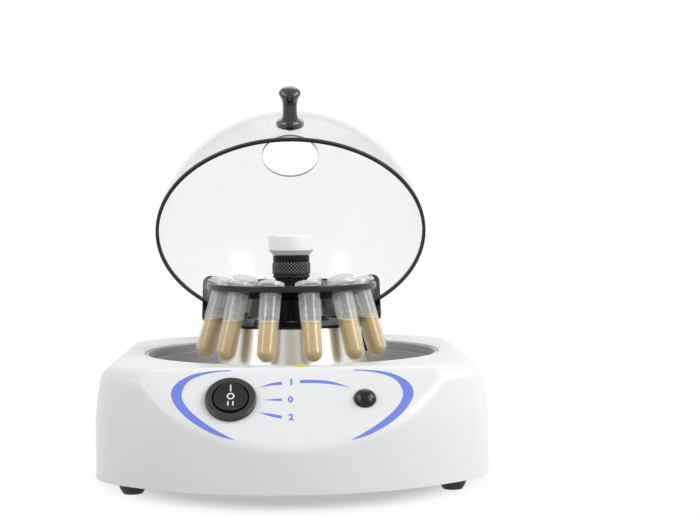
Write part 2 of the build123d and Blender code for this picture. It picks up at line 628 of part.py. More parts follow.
# Black rotor: a shallow bowl with a raised rim and a ring of slanted holes
with BuildPart() as rotor:
    with BuildSketch(Plane.XZ):
        with BuildLine():
            rim_base = ROTOR_BOTTOM + (ROTOR_RADIUS - ROTOR_FLAT_RADIUS) * CONE_RISE
            rim_inside = ROTOR_RADIUS - ROTOR_RIM_WIDTH
            bowl_edge = ROTOR_TOP + (rim_inside - ROTOR_FLAT_RADIUS) * CONE_RISE
            Polyline(
                (SPINDLE_RADIUS + FIT_GAP, ROTOR_BOTTOM),
                (ROTOR_FLAT_RADIUS, ROTOR_BOTTOM),
                (ROTOR_RADIUS, rim_base),
                (ROTOR_RADIUS, ROTOR_RIM_TOP),
                (rim_inside, ROTOR_RIM_TOP),
                (rim_inside, bowl_edge + CONE_THICKNESS - ROTOR_THICKNESS),
                (ROTOR_FLAT_RADIUS, ROTOR_TOP + CONE_THICKNESS - ROTOR_THICKNESS),
                (ROTOR_FLAT_RADIUS - ROTOR_STEP, ROTOR_TOP),
                (SPINDLE_RADIUS + FIT_GAP, ROTOR_TOP),
                close=True,
            )
        make_face()
    revolve(axis=Axis.Z)
    rim_edges = rotor.edges().filter_by(GeomType.CIRCLE).group_by(Axis.Z)[-1]
    fillet(rim_edges, ROTOR_RIM_WIDTH / 3)
    with PolarLocations(0, TUBE_COUNT, start_angle=FIRST_TUBE_ANGLE):
        add(tube_hole.part, mode=Mode.SUBTRACT)
finish(rotor.part, "rotor")

# Tapered collar between the rotor and the lock ring
with BuildPart() as collar:
    with BuildSketch(Plane.XZ):
        Polygon(
            (SPINDLE_RADIUS + FIT_GAP, ROTOR_TOP),
            (COLLAR_FOOT_RADIUS, ROTOR_TOP),
            (COLLAR_TOP_RADIUS, COLLAR_TOP),
            (SPINDLE_RADIUS + FIT_GAP, COLLAR_TOP),
            align=None,
        )
    revolve(axis=Axis.Z)
finish(collar.part, "collar")

# Knurled lock ring: fluted disc with both edges chamfered
with BuildPart() as lock_ring:
    with BuildSketch(Plane.XY.offset(COLLAR_TOP)):
        Circle(RING_RADIUS)
        with PolarLocations(RING_RADIUS, RING_TOOTH_COUNT):
            Circle(RING_TOOTH_DEPTH, mode=Mode.SUBTRACT)
        Circle(SPINDLE_RADIUS + FIT_GAP, mode=Mode.SUBTRACT)
    extrude(amount=RING_HEIGHT)
    with BuildSketch(Plane.XZ):
        with Locations((0, COLLAR_TOP + RING_HEIGHT / 2)):
            profile = Rectangle(2 * RING_RADIUS, RING_HEIGHT)
        chamfer(profile.vertices(), RING_CHAMFER)
        with Locations((0, COLLAR_TOP)):
            Rectangle(RING_RADIUS, RING_HEIGHT, align=(Align.MIN, Align.MIN), mode=Mode.INTERSECT)
    revolve(axis=Axis.Z, mode=Mode.INTERSECT)
finish(lock_ring.part, "lock_ring")

# Black carrier under the cup
with BuildPart() as cup_carrier:
    with BuildSketch(Plane.XY.offset(RING_TOP)):
        Circle(CARRIER_RADIUS)
    extrude(amount=CARRIER_HEIGHT)
    with BuildSketch(Plane.XY.offset(RING_TOP)):
        Circle(SPINDLE_RADIUS + FIT_GAP)
    extrude(amount=CARRIER_HEIGHT / 2, mode=Mode.SUBTRACT)
    with BuildSketch(Plane.XY.offset(RING_TOP)):
        with Locations((0, ECCENTRICITY)):
            Circle(PIN_RADIUS + FIT_GAP)
    extrude(amount=CARRIER_HEIGHT, mode=Mode.SUBTRACT)
finish(cup_carrier.part, "cup_carrier")

# White vortex cup, dished on top, turning on the eccentric pin
cup_axis = Axis((0, ECCENTRICITY, 0), (0, 0, 1))
cup_section = Plane(origin=(0, ECCENTRICITY, 0), x_dir=(1, 0, 0), z_dir=(0, -1, 0))
with BuildPart() as vortex_cup:
    with BuildSketch(cup_section):
        with BuildLine():
            dish_bottom = CUP_TOP - CUP_DISH_DEPTH
            dish = TangentArc((0, dish_bottom), (CUP_DISH_RADIUS, CUP_TOP), tangent=(1, 0))
            Polyline(
                dish @ 1,
                (CUP_RADIUS, CUP_TOP),
                (CUP_RADIUS, CUP_BOTTOM + CUP_FOOT_HEIGHT),
                (CUP_FOOT_RADIUS, CUP_BOTTOM),
                (BUSH_RADIUS + FIT_GAP, CUP_BOTTOM),
                (BUSH_RADIUS + FIT_GAP, dish_bottom - CUP_FLOOR),
                (0, dish_bottom - CUP_FLOOR),
                dish @ 0,
            )
        make_face()
    revolve(axis=cup_axis)
    fillet(vortex_cup.edges().filter_by(GeomType.CIRCLE).group_by(Axis.Z)[-1],
           (CUP_RADIUS - CUP_DISH_RADIUS) / 3)
finish(vortex_cup.part, "vortex_cup")

# Plain bearing bush pressed in the cup
with BuildPart() as cup_bush:
    with BuildSketch(Plane.XY.offset(CUP_BOTTOM)):
        with Locations((0, ECCENTRICITY)):
            Circle(BUSH_RADIUS)
            Circle(PIN_RADIUS + RUNNING_GAP, mode=Mode.SUBTRACT)
    extrude(amount=BUSH_LENGTH)
finish(cup_bush.part, "cup_bush")

# One sample tube on its seat in the rotor, its cap and its liquid, drawn about the tube's axis
tube_axis = Axis(tube_seat.origin, tube_seat.z_dir)
tube_section = Plane(tube_seat.origin, x_dir=tube_seat.x_dir, z_dir=tube_seat.x_dir.cross(tube_seat.z_dir))
TUBE_LIP_TOP = TUBE_SEAT_GAP + TUBE_COLLAR_HEIGHT
TIP_CENTRE = TUBE_TIP_RADIUS - TUBE_DEPTH
STRAP_REACH = CAP_RADIUS - TUBE_COLLAR_RADIUS + STRAP_THICKNESS
with BuildPart() as tube_pattern:
    with BuildSketch(tube_section):
        with BuildLine():
            tip = CenterArc((0, TIP_CENTRE), TUBE_TIP_RADIUS, -90, 90)
            inner_tip = CenterArc((0, TIP_CENTRE), TUBE_TIP_RADIUS - TUBE_WALL, -90, 90)
            Polyline(
                tip @ 1,
                (TUBE_RADIUS, TUBE_SEAT_GAP),
                (TUBE_COLLAR_RADIUS, TUBE_SEAT_GAP),
                (TUBE_COLLAR_RADIUS, TUBE_LIP_TOP),
                (TUBE_RADIUS - TUBE_WALL, TUBE_LIP_TOP),
                inner_tip @ 1,
            )
            Line(inner_tip @ 0, tip @ 0)
        make_face()
    revolve(axis=tube_axis)

with BuildPart() as cap_pattern:
    with BuildSketch(tube_section):
        plug_radius = TUBE_RADIUS - TUBE_WALL - 2 * CAP_FIT_GAP
        cap_bottom = TUBE_LIP_TOP + CAP_FIT_GAP
        Polygon(
            (0, cap_bottom - CAP_PLUG_DEPTH),
            (plug_radius, cap_bottom - CAP_PLUG_DEPTH),
            (plug_radius, cap_bottom),
            (CAP_RADIUS, cap_bottom),
            (CAP_RADIUS, cap_bottom + CAP_HEIGHT),
            (0, cap_bottom + CAP_HEIGHT),
            align=None,
        )
    revolve(axis=tube_axis)
    fillet(cap_pattern.edges().filter_by(GeomType.CIRCLE).sort_by(tube_axis)[-1], CAP_HEIGHT / 5)
    # thumb tab outward and the folded strap of its hinge inward
    with BuildSketch(tube_seat.offset(cap_bottom)):
        with Locations((0, -CAP_RADIUS)):
            tab = Rectangle(CAP_TAB_WIDTH, 2 * CAP_TAB_LENGTH)
        fillet(tab.vertices().group_by(Axis.Y)[0], CAP_TAB_LENGTH / 2)
    extrude(amount=CAP_TAB_THICKNESS)
    with BuildSketch(tube_seat.offset(TUBE_SEAT_GAP + CAP_FIT_GAP)):
        with Locations((0, TUBE_COLLAR_RADIUS + CAP_FIT_GAP)):
            Rectangle(STRAP_WIDTH, STRAP_REACH, align=(Align.CENTER, Align.MIN))
    extrude(amount=TUBE_COLLAR_HEIGHT + CAP_TAB_THICKNESS)

with BuildPart() as sample_pattern:
    with BuildSketch(tube_section):
        with BuildLine():
            pool_radius = TUBE_TIP_RADIUS - TUBE_WALL - CAP_FIT_GAP
            pool = CenterArc((0, TIP_CENTRE), pool_radius, -90, 90)
            Polyline(
                pool @ 1,
                (TUBE_RADIUS - TUBE_WALL - CAP_FIT_GAP, 0),
                (0, 0),
                pool @ 0,
            )
        make_face()
    revolve(axis=tube_axis)
    split(bisect_by=Plane.XY.offset(SAMPLE_LEVEL), keep=Keep.BOTTOM)

for index in range(TUBE_COUNT):
    with BuildPart() as tube:
        with Locations(Location((0, 0, 0), (0, 0, FIRST_TUBE_ANGLE + index * 360 / TUBE_COUNT))):
            add(tube_pattern.part)
    finish(tube.part, f"tube_{index + 1:02d}")

with BuildPart() as tube_caps:
    with PolarLocations(0, TUBE_COUNT, start_angle=FIRST_TUBE_ANGLE):
        add(cap_pattern.part)
finish(tube_caps.part, "tube_caps")

with BuildPart() as samples:
    with PolarLocations(0, TUBE_COUNT, start_angle=FIRST_TUBE_ANGLE):
        add(sample_pattern.part)
finish(samples.part, "samples")

# Clear dome of the lid, drawn closed: part of a sphere with a round hole at its top
dome_centre = (0, 0, LID_CENTRE_HEIGHT)
knob_seat = Plane(
    origin=(
        0,
        -LID_RADIUS * sin(radians(KNOB_ANGLE)),
        LID_CENTRE_HEIGHT + LID_RADIUS * cos(radians(KNOB_ANGLE)),
    ),
    x_dir=(1, 0, 0),
    z_dir=(0, -sin(radians(KNOB_ANGLE)), cos(radians(KNOB_ANGLE))),
)
screw_tilt = asin((LID_CENTRE_DROP + BRACKET_SCREW_HEIGHT) / LID_RADIUS)
bracket_seats = []
for angle in BRACKET_SCREW_ANGLES:
    outward = Vector(
        sin(radians(angle)) * cos(screw_tilt),
        cos(radians(angle)) * cos(screw_tilt),
        sin(screw_tilt),
    )
    bracket_seats.append(Plane(origin=Vector(*dome_centre) + outward * LID_RADIUS, z_dir=outward))

dome_section = Plane(origin=dome_centre, x_dir=(1, 0, 0), z_dir=(0, -1, 0))

with BuildPart() as lid_dome:
    with BuildSketch(dome_section):
        Circle(LID_RADIUS)
        Circle(LID_RADIUS - LID_WALL, mode=Mode.SUBTRACT)
        with Locations((LID_HOLE_RADIUS, LID_CENTRE_DROP)):
            Rectangle(LID_RADIUS, LID_RADIUS, align=(Align.MIN, Align.MIN), mode=Mode.INTERSECT)
    revolve(axis=Axis.Z)
    fillet(lid_dome.edges().filter_by(GeomType.CIRCLE).group_by(Axis.Z)[-1], LID_WALL / 3)
    with BuildSketch(knob_seat):
        Circle(KNOB_SCREW_RADIUS + SCREW_HOLE_GAP)
    extrude(amount=-2 * LID_WALL, mode=Mode.SUBTRACT)
    with BuildSketch(*bracket_seats):
        Circle(BRACKET_SCREW_RADIUS + SCREW_HOLE_GAP)
    extrude(amount=-2 * LID_WALL, mode=Mode.SUBTRACT)
finish(lifted(lid_dome), "lid_dome")

# Black edge seal, a channel that the dome's rim sits in
SEAL_OUTER_RADIUS = LID_RIM_RADIUS + SEAL_OVERHANG
SEAL_TOP = LID_RIM_HEIGHT + SEAL_LAP
with BuildPart() as lid_seal:
    inner_rim = sqrt((LID_RADIUS - LID_WALL) ** 2 - LID_CENTRE_DROP**2)
    with BuildSketch(Plane.XY.offset(LID_RIM_HEIGHT - SEAL_BELOW)):
        Circle(SEAL_OUTER_RADIUS)
        Circle(inner_rim - SEAL_INSET, mode=Mode.SUBTRACT)
    extrude(amount=SEAL_BELOW + SEAL_LAP)
    with BuildSketch(Plane.XY.offset(LID_RIM_HEIGHT - SEAL_GAP)):
        Circle(LID_RIM_RADIUS + SEAL_GAP)
        Circle(inner_rim - SEAL_GAP, mode=Mode.SUBTRACT)
    extrude(amount=SEAL_LAP + SEAL_GAP, mode=Mode.SUBTRACT)
finish(lifted(lid_seal), "lid_seal")

# Black lifting knob on the front of the dome, waisted, with a thin flange
with BuildPart() as lid_knob:
    with BuildSketch(Plane(knob_seat.origin, x_dir=knob_seat.x_dir, z_dir=-knob_seat.y_dir)):
        with BuildLine():
            flare = Spline(
                (KNOB_FLANGE_RADIUS, KNOB_FLANGE_EDGE),
                (KNOB_NECK_RADIUS, KNOB_NECK_HEIGHT),
                tangents=((-1, 0.1), (0, 1)),
            )
            head = Spline(
                (KNOB_NECK_RADIUS, KNOB_NECK_HEIGHT),
                (KNOB_HEAD_RADIUS, KNOB_LENGTH - KNOB_HEAD_RADIUS / 2),
                (0, KNOB_LENGTH),
                tangents=((0, 1), (-1, 0)),
            )
            Polyline(head @ 1, (0, -LID_WALL), (KNOB_FLANGE_RADIUS, -LID_WALL), flare @ 0)
        make_face()
    revolve(axis=Axis(knob_seat.origin, knob_seat.z_dir))
    with Locations(dome_centre):
        Sphere(LID_RADIUS + BRACKET_FIT, mode=Mode.SUBTRACT)
    with BuildSketch(knob_seat):
        Circle(KNOB_SCREW_RADIUS + FIT_GAP)
    extrude(amount=KNOB_SCREW_GRIP + SCREW_HOLE_GAP, mode=Mode.SUBTRACT)
finish(lifted(lid_knob), "lid_knob")

# Screw that holds the knob from inside the dome
with BuildPart() as knob_screw:
    with BuildSketch(knob_seat.offset(-LID_WALL - SCREW_HEAD_GAP)):
        Circle(KNOB_SCREW_HEAD_RADIUS)
    extrude(amount=-SCREW_HEAD_HEIGHT)
    fillet(knob_screw.edges().sort_by(Axis(knob_seat.origin, knob_seat.z_dir))[0], SCREW_HEAD_HEIGHT / 2)
    with BuildSketch(knob_seat.offset(-LID_WALL - SCREW_HEAD_GAP)):
        Circle(KNOB_SCREW_RADIUS)
    extrude(amount=LID_WALL + SCREW_HEAD_GAP + KNOB_SCREW_GRIP)
finish(lifted(knob_screw), "knob_screw")

# Black hinge bracket: a plate that hugs the dome's back, with arms to the hinge barrel
arm_places = [(index - (ARM_COUNT - 1) / 2) * ARM_PITCH for index in range(ARM_COUNT)]
with BuildPart() as hinge_bracket:
    with BuildSketch(Plane.XZ):
        with Locations((0, (BRACKET_BOTTOM + BRACKET_TOP) / 2)):
            outline = Rectangle(BRACKET_WIDTH, BRACKET_TOP - BRACKET_BOTTOM)
        fillet(outline.vertices().group_by(Axis.Y)[-1], BRACKET_CORNER_RADIUS)
    extrude(amount=-HINGE_Y)
    with Locations(dome_centre):
        Sphere(LID_RADIUS + BRACKET_FIT + BRACKET_THICKNESS, mode=Mode.INTERSECT)
    with BuildSketch(*[Plane.YZ.offset(place) for place in arm_places]):
        Polygon(
            (ARM_ROOT, BRACKET_BOTTOM),
            (HINGE_Y, HINGE_Z - BARREL_RADIUS),
            (HINGE_Y, HINGE_Z + BARREL_RADIUS),
            (ARM_ROOT, ARM_TOP),
            align=None,
        )
    extrude(amount=ARM_WIDTH / 2, both=True)
    with BuildSketch(Plane.YZ):
        with Locations((HINGE_Y, HINGE_Z)):
            Circle(BARREL_RADIUS)
    extrude(amount=BARREL_LENGTH / 2, both=True)
    # room for the dome, the seal, the pin and the screws
    with Locations(dome_centre):
        Sphere(LID_RADIUS + BRACKET_FIT, mode=Mode.SUBTRACT)
    with BuildSketch(Plane.XY.offset(POCKET_FLOOR)):
        Circle(SEAL_OUTER_RADIUS + BRACKET_SEAL_GAP)
    extrude(amount=SEAL_TOP + BRACKET_SEAL_GAP - POCKET_FLOOR, mode=Mode.SUBTRACT)
    with BuildSketch(Plane.YZ):
        with Locations((HINGE_Y, HINGE_Z)):
            Circle(HINGE_PIN_RADIUS + RUNNING_GAP)
    extrude(amount=BARREL_LENGTH / 2, both=True, mode=Mode.SUBTRACT)
    with BuildSketch(*bracket_seats):
        Circle(BRACKET_SCREW_RADIUS + FIT_GAP)
    extrude(amount=BRACKET_SCREW_GRIP + SCREW_HOLE_GAP, mode=Mode.SUBTRACT)
finish(lifted(hinge_bracket), "hinge_bracket")

# Screws that hold the bracket from inside the dome
with BuildPart() as bracket_screws:
    heads = [seat.offset(-LID_WALL - SCREW_HEAD_GAP) for seat in bracket_seats]
    with BuildSketch(*heads):
        Circle(BRACKET_SCREW_HEAD_RADIUS)
    extrude(amount=-SCREW_HEAD_HEIGHT)
    with BuildSketch(*heads):
        Circle(BRACKET_SCREW_RADIUS)
    extrude(amount=LID_WALL + SCREW_HEAD_GAP + BRACKET_SCREW_GRIP)
finish(lifted(bracket_screws), "bracket_screws")

# Steel pin across the hinge pocket
with BuildPart() as hinge_pin:
    with BuildSketch(Plane.YZ):
        with Locations((HINGE_Y, HINGE_Z)):
            Circle(HINGE_PIN_RADIUS)
    extrude(amount=POCKET_WIDTH / 2 + POCKET_WALL, both=True)
finish(hinge_pin.part, "hinge_pin")

# Round switch body with its bezel, recess and slots for the blades
blade_places = [(0, (index - 1) * BLADE_PITCH) for index in range(BLADE_COUNT)]
with BuildPart() as switch_body:
    with BuildSketch(switch_plane):
        Circle(SWITCH_BEZEL_RADIUS)
    extrude(amount=SWITCH_BEZEL_HEIGHT)
    fillet(switch_body.edges().sort_by(Axis(switch_plane.origin, switch_plane.z_dir))[-1],
           SWITCH_BEZEL_HEIGHT / 2)
    with BuildSketch(switch_plane):
        Circle(SWITCH_BARREL_RADIUS)
    extrude(amount=-SWITCH_BARREL_DEPTH)
    with BuildSketch(switch_plane.offset(-SWITCH_RECESS_DEPTH)):
        Circle(SWITCH_RECESS_RADIUS)
    extrude(amount=SWITCH_RECESS_DEPTH + SWITCH_BEZEL_HEIGHT, mode=Mode.SUBTRACT)
    with BuildSketch(switch_plane.offset(-SWITCH_BARREL_DEPTH)):
        with Locations(*blade_places):
            Rectangle(BLADE_WIDTH + 2 * FIT_GAP, BLADE_THICKNESS + 2 * FIT_GAP)
    extrude(amount=BLADE_LENGTH / 2, mode=Mode.SUBTRACT)
    with BuildSketch(pivot_plane):
        Circle(TRUNNION_RADIUS + RUNNING_GAP)
    extrude(amount=TRUNNION_LENGTH / 2 + BUTTON_GAP, both=True, mode=Mode.SUBTRACT)
finish(switch_body.part, "switch_body")

# Flat metal blades under the switch
with BuildPart() as switch_blades:
    with BuildSketch(switch_plane.offset(BLADE_LENGTH / 2 - SWITCH_BARREL_DEPTH)):
        with Locations(*blade_places):
            Rectangle(BLADE_WIDTH, BLADE_THICKNESS)
    extrude(amount=-3 * BLADE_LENGTH / 2)
finish(switch_blades.part, "switch_blades")

# Rocker of the switch: round, dished along its rocking way, with a trunnion at each side
with BuildPart() as switch_rocker:
    with BuildSketch(pivot_plane):
        with BuildLine():
            dish = ThreePointArc(
                (-ROCKER_RADIUS, ROCKER_PIVOT_DEPTH + ROCKER_HEIGHT),
                (0, ROCKER_PIVOT_DEPTH + ROCKER_HEIGHT - ROCKER_DIP),
                (ROCKER_RADIUS, ROCKER_PIVOT_DEPTH + ROCKER_HEIGHT),
            )
            underside = ROCKER_PIVOT_DEPTH - ROCKER_DEPTH
            Polyline(dish @ 1, (ROCKER_RADIUS, underside), (-ROCKER_RADIUS, underside), dish @ 0)
        make_face()
    extrude(amount=ROCKER_RADIUS, both=True)
    with BuildSketch(switch_plane.offset(-ROCKER_DEPTH)):
        Circle(ROCKER_RADIUS)
    extrude(amount=ROCKER_DEPTH + ROCKER_HEIGHT, mode=Mode.INTERSECT)
    with BuildSketch(pivot_plane):
        Circle(TRUNNION_RADIUS)
    extrude(amount=TRUNNION_LENGTH / 2, both=True)
finish(switch_rocker.part, "switch_rocker")

# Push button, turned profile: domed cap, skirt and stop flange
button_axis = Axis(button_plane.origin, button_plane.z_dir)
button_section = Plane(button_plane.origin, x_dir=button_plane.x_dir, z_dir=-button_plane.y_dir)
with BuildPart() as button_cap:
    with BuildSketch(button_section):
        with BuildLine():
            flange_top = -SHELL_WALL - BUTTON_STOP_GAP
            crown = (0, BUTTON_RISE + BUTTON_DOME_HEIGHT)
            dome = TangentArc(crown, (BUTTON_RADIUS, BUTTON_RISE), tangent=(1, 0))
            Polyline(
                dome @ 1,
                (BUTTON_RADIUS, flange_top),
                (BUTTON_FLANGE_RADIUS, flange_top),
                (BUTTON_FLANGE_RADIUS, flange_top - BUTTON_FLANGE_HEIGHT),
                (0, flange_top - BUTTON_FLANGE_HEIGHT),
                dome @ 0,
            )
        make_face()
    revolve(axis=button_axis)
finish(button_cap.part, "button_cap")

# Box of the push button behind the panel
with BuildPart() as button_box:
    with BuildSketch(button_plane.offset(-SHELL_WALL)):
        Circle(BUTTON_BOX_RADIUS)
    extrude(amount=-BUTTON_BOX_DEPTH)
    with BuildSketch(button_plane.offset(-SHELL_WALL)):
        Circle(BUTTON_FLANGE_RADIUS + BUTTON_STOP_GAP)
    extrude(amount=BUTTON_BOX_FLOOR - BUTTON_BOX_DEPTH, mode=Mode.SUBTRACT)
finish(button_box.part, "button_box")

# Return spring under the button
with BuildPart() as button_spring:
    spring_foot = BUTTON_BOX_FLOOR - BUTTON_BOX_DEPTH - SHELL_WALL + SPRING_WIRE / 2 + SPRING_SEAT_GAP
    spring_head = flange_top - BUTTON_FLANGE_HEIGHT - SPRING_WIRE / 2 - SPRING_SEAT_GAP
    coil_height = spring_head - spring_foot
    foot_centre = button_plane.from_local_coords((0, 0, spring_foot))
    with BuildLine():
        coil = Helix(coil_height / SPRING_TURNS, coil_height, SPRING_RADIUS, foot_centre, button_plane.z_dir)
    with BuildSketch(Plane(coil @ 0, z_dir=coil % 0)):
        Circle(SPRING_WIRE / 2)
    sweep(is_frenet=True)
finish(button_spring.part, "button_spring")

# Power inlet: flange and barrel with the socket bore and its centre pin
inlet_face = BODY_RADIUS - INLET_FLAT_DEPTH
inlet_plane = Plane(origin=(0, inlet_face, INLET_HEIGHT), x_dir=(-1, 0, 0), z_dir=(0, 1, 0))
with BuildPart() as dc_inlet:
    with BuildSketch(inlet_plane):
        Circle(INLET_FLANGE_RADIUS)
    extrude(amount=INLET_FLANGE_THICKNESS)
    fillet(dc_inlet.edges().sort_by(Axis.Y)[-1], INLET_FLANGE_THICKNESS / 3)
    with BuildSketch(inlet_plane):
        Circle(INLET_BARREL_RADIUS)
    extrude(amount=INLET_FLANGE_THICKNESS - INLET_LENGTH)
    with BuildSketch(inlet_plane.offset(INLET_FLANGE_THICKNESS)):
        Circle(INLET_BORE_RADIUS)
        Circle(INLET_PIN_RADIUS, mode=Mode.SUBTRACT)
    extrude(amount=-INLET_BORE_DEPTH, mode=Mode.SUBTRACT)
finish(dc_inlet.part, "dc_inlet")

# Six-sided nut that holds the inlet from inside
with BuildPart() as inlet_nut:
    with BuildSketch(Plane(origin=(0, BODY_RADIUS - INLET_BOSS_DEPTH, INLET_HEIGHT), z_dir=(0, -1, 0))):
        RegularPolygon(NUT_RADIUS, 6)
        Circle(INLET_BARREL_RADIUS + FIT_GAP, mode=Mode.SUBTRACT)
    extrude(amount=NUT_THICKNESS)
finish(inlet_nut.part, "inlet_nut")

# Standoffs, control board, its parts and its screws
board_bottom = BASE_TOP + STANDOFF_HEIGHT
board_top = board_bottom + BOARD_THICKNESS
screw_pitch_x = BOARD_LENGTH - 2 * STANDOFF_INSET
screw_pitch_y = BOARD_WIDTH - 2 * STANDOFF_INSET
with BuildPart() as board_standoffs:
    with BuildSketch(Plane.XY.offset(BASE_TOP)):
        with Locations((0, BOARD_Y)):
            with GridLocations(screw_pitch_x, screw_pitch_y, 2, 2):
                Circle(STANDOFF_RADIUS)
    extrude(amount=STANDOFF_HEIGHT)
    with BuildSketch(Plane.XY.offset(board_bottom)):
        with Locations((0, BOARD_Y)):
            with GridLocations(screw_pitch_x, screw_pitch_y, 2, 2):
                Circle(BOARD_SCREW_RADIUS + FIT_GAP)
    extrude(amount=BOARD_THICKNESS - BOARD_SCREW_LENGTH - SCREW_HOLE_GAP, mode=Mode.SUBTRACT)
finish(board_standoffs.part, "board_standoffs")

with BuildPart() as control_board:
    with BuildSketch(Plane.XY.offset(board_bottom)):
        with Locations((0, BOARD_Y)):
            Rectangle(BOARD_LENGTH, BOARD_WIDTH)
            with GridLocations(screw_pitch_x, screw_pitch_y, 2, 2):
                Circle(BOARD_SCREW_RADIUS + SCREW_HOLE_GAP, mode=Mode.SUBTRACT)
    extrude(amount=BOARD_THICKNESS)
finish(control_board.part, "control_board")

with BuildPart() as board_parts:
    for place, size, height in BOARD_BLOCKS:
        with BuildSketch(Plane.XY.offset(board_top)):
            with Locations((place[0], BOARD_Y + place[1])):
                Rectangle(*size)
        extrude(amount=height)
    for place, radius, height in BOARD_CANS:
        with BuildSketch(Plane.XY.offset(board_top)):
            with Locations((place[0], BOARD_Y + place[1])):
                Circle(radius)
        extrude(amount=height)
finish(board_parts.part, "board_parts")

with BuildPart() as board_screws:
    with BuildSketch(Plane.XY.offset(board_top)):
        with Locations((0, BOARD_Y)):
            with GridLocations(screw_pitch_x, screw_pitch_y, 2, 2):
                Circle(BOARD_SCREW_HEAD_RADIUS)
    extrude(amount=BOARD_SCREW_HEAD_HEIGHT)
    with BuildSketch(Plane.XY.offset(board_top)):
        with Locations((0, BOARD_Y)):
            with GridLocations(screw_pitch_x, screw_pitch_y, 2, 2):
                Circle(BOARD_SCREW_RADIUS)
    extrude(amount=-BOARD_SCREW_LENGTH)
finish(board_screws.part, "board_screws")
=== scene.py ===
"""Dressed scene of a bench centrifuge with a vortex cup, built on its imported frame."""

import logging
import math
from dataclasses import dataclass, field
from enum import Enum
from typing import Any, Iterable, Sequence

import bmesh
import bpy
from mathutils import Matrix, Vector
from mathutils.bvhtree import BVHTree


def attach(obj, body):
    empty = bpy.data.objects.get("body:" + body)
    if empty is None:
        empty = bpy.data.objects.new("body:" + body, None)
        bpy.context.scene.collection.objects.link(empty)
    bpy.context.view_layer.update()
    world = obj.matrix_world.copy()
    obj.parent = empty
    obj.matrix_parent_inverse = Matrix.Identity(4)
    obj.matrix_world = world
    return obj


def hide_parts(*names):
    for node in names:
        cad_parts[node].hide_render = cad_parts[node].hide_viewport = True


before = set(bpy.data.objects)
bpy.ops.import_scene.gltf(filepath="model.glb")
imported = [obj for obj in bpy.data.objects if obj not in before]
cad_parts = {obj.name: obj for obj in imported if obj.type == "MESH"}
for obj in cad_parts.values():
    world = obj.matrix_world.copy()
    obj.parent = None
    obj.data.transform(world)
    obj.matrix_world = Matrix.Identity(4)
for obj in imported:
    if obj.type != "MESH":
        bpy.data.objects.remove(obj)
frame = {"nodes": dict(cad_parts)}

LOG = logging.getLogger("centrifuge")
MM = 0.001
WELD = 1e-6
Colour = tuple[float, float, float]
Triple = tuple[float, float, float]
BROAD_SCALE = 22.0
BROAD_DETAIL = 3.0
FINE_DETAIL = 2.0
TURNED_STRETCH = (0.04, 0.04, 1.0)
KNURL_SHARPNESS = 3.0
FACING_BLEND = 0.35
COAT_ROUGHNESS = 0.08
BUMP_DISTANCE = 0.0003
ROUGHNESS_LOW = 0.9
ROUGHNESS_SPAN = 0.2
# Liquid level, and the reach, scale and darkening of the painted shade line and painted highlight rim at it.
LEVEL = 0.079
LEVEL_REACH = 0.003
LEVEL_SCALE = 250.0
LEVEL_PAINTED_SHADE = 0.62


class Surface(Enum):
    """How a finish varies over its surface."""

    MOULDED = "moulded"
    TURNED = "turned"
    KNURLED = "knurled"
    CLEAR = "clear"
    LIQUID = "liquid"
    # Painted reflection bands, as polished sheet mirrors what stands round it.
    PAINTED_REFLECTION = "painted_reflection"


class Term:
    """One shader value, with the arithmetic that the finishes use."""

    def __init__(self, shader: "Shader", socket: bpy.types.NodeSocket) -> None:
        """Keep the socket and the shader that it belongs to."""
        self.shader = shader
        self.socket = socket

    def _with(self, operation: str, first: Any, second: Any) -> "Term":
        """Add one Math node and return its value."""
        return self.shader.add("ShaderNodeMath", {"operation": operation}, {0: first, 1: second})

    def __add__(self, other: Any) -> "Term":
        """Sum."""
        return self._with("ADD", self, other)

    __radd__ = __add__

    def __sub__(self, other: Any) -> "Term":
        """Difference."""
        return self._with("SUBTRACT", self, other)

    def __rsub__(self, other: Any) -> "Term":
        """Difference from a number."""
        return self._with("SUBTRACT", other, self)

    def __mul__(self, other: Any) -> "Term":
        """Product."""
        return self._with("MULTIPLY", self, other)

    __rmul__ = __mul__

    def __pow__(self, other: Any) -> "Term":
        """Power."""
        return self._with("POWER", self, other)


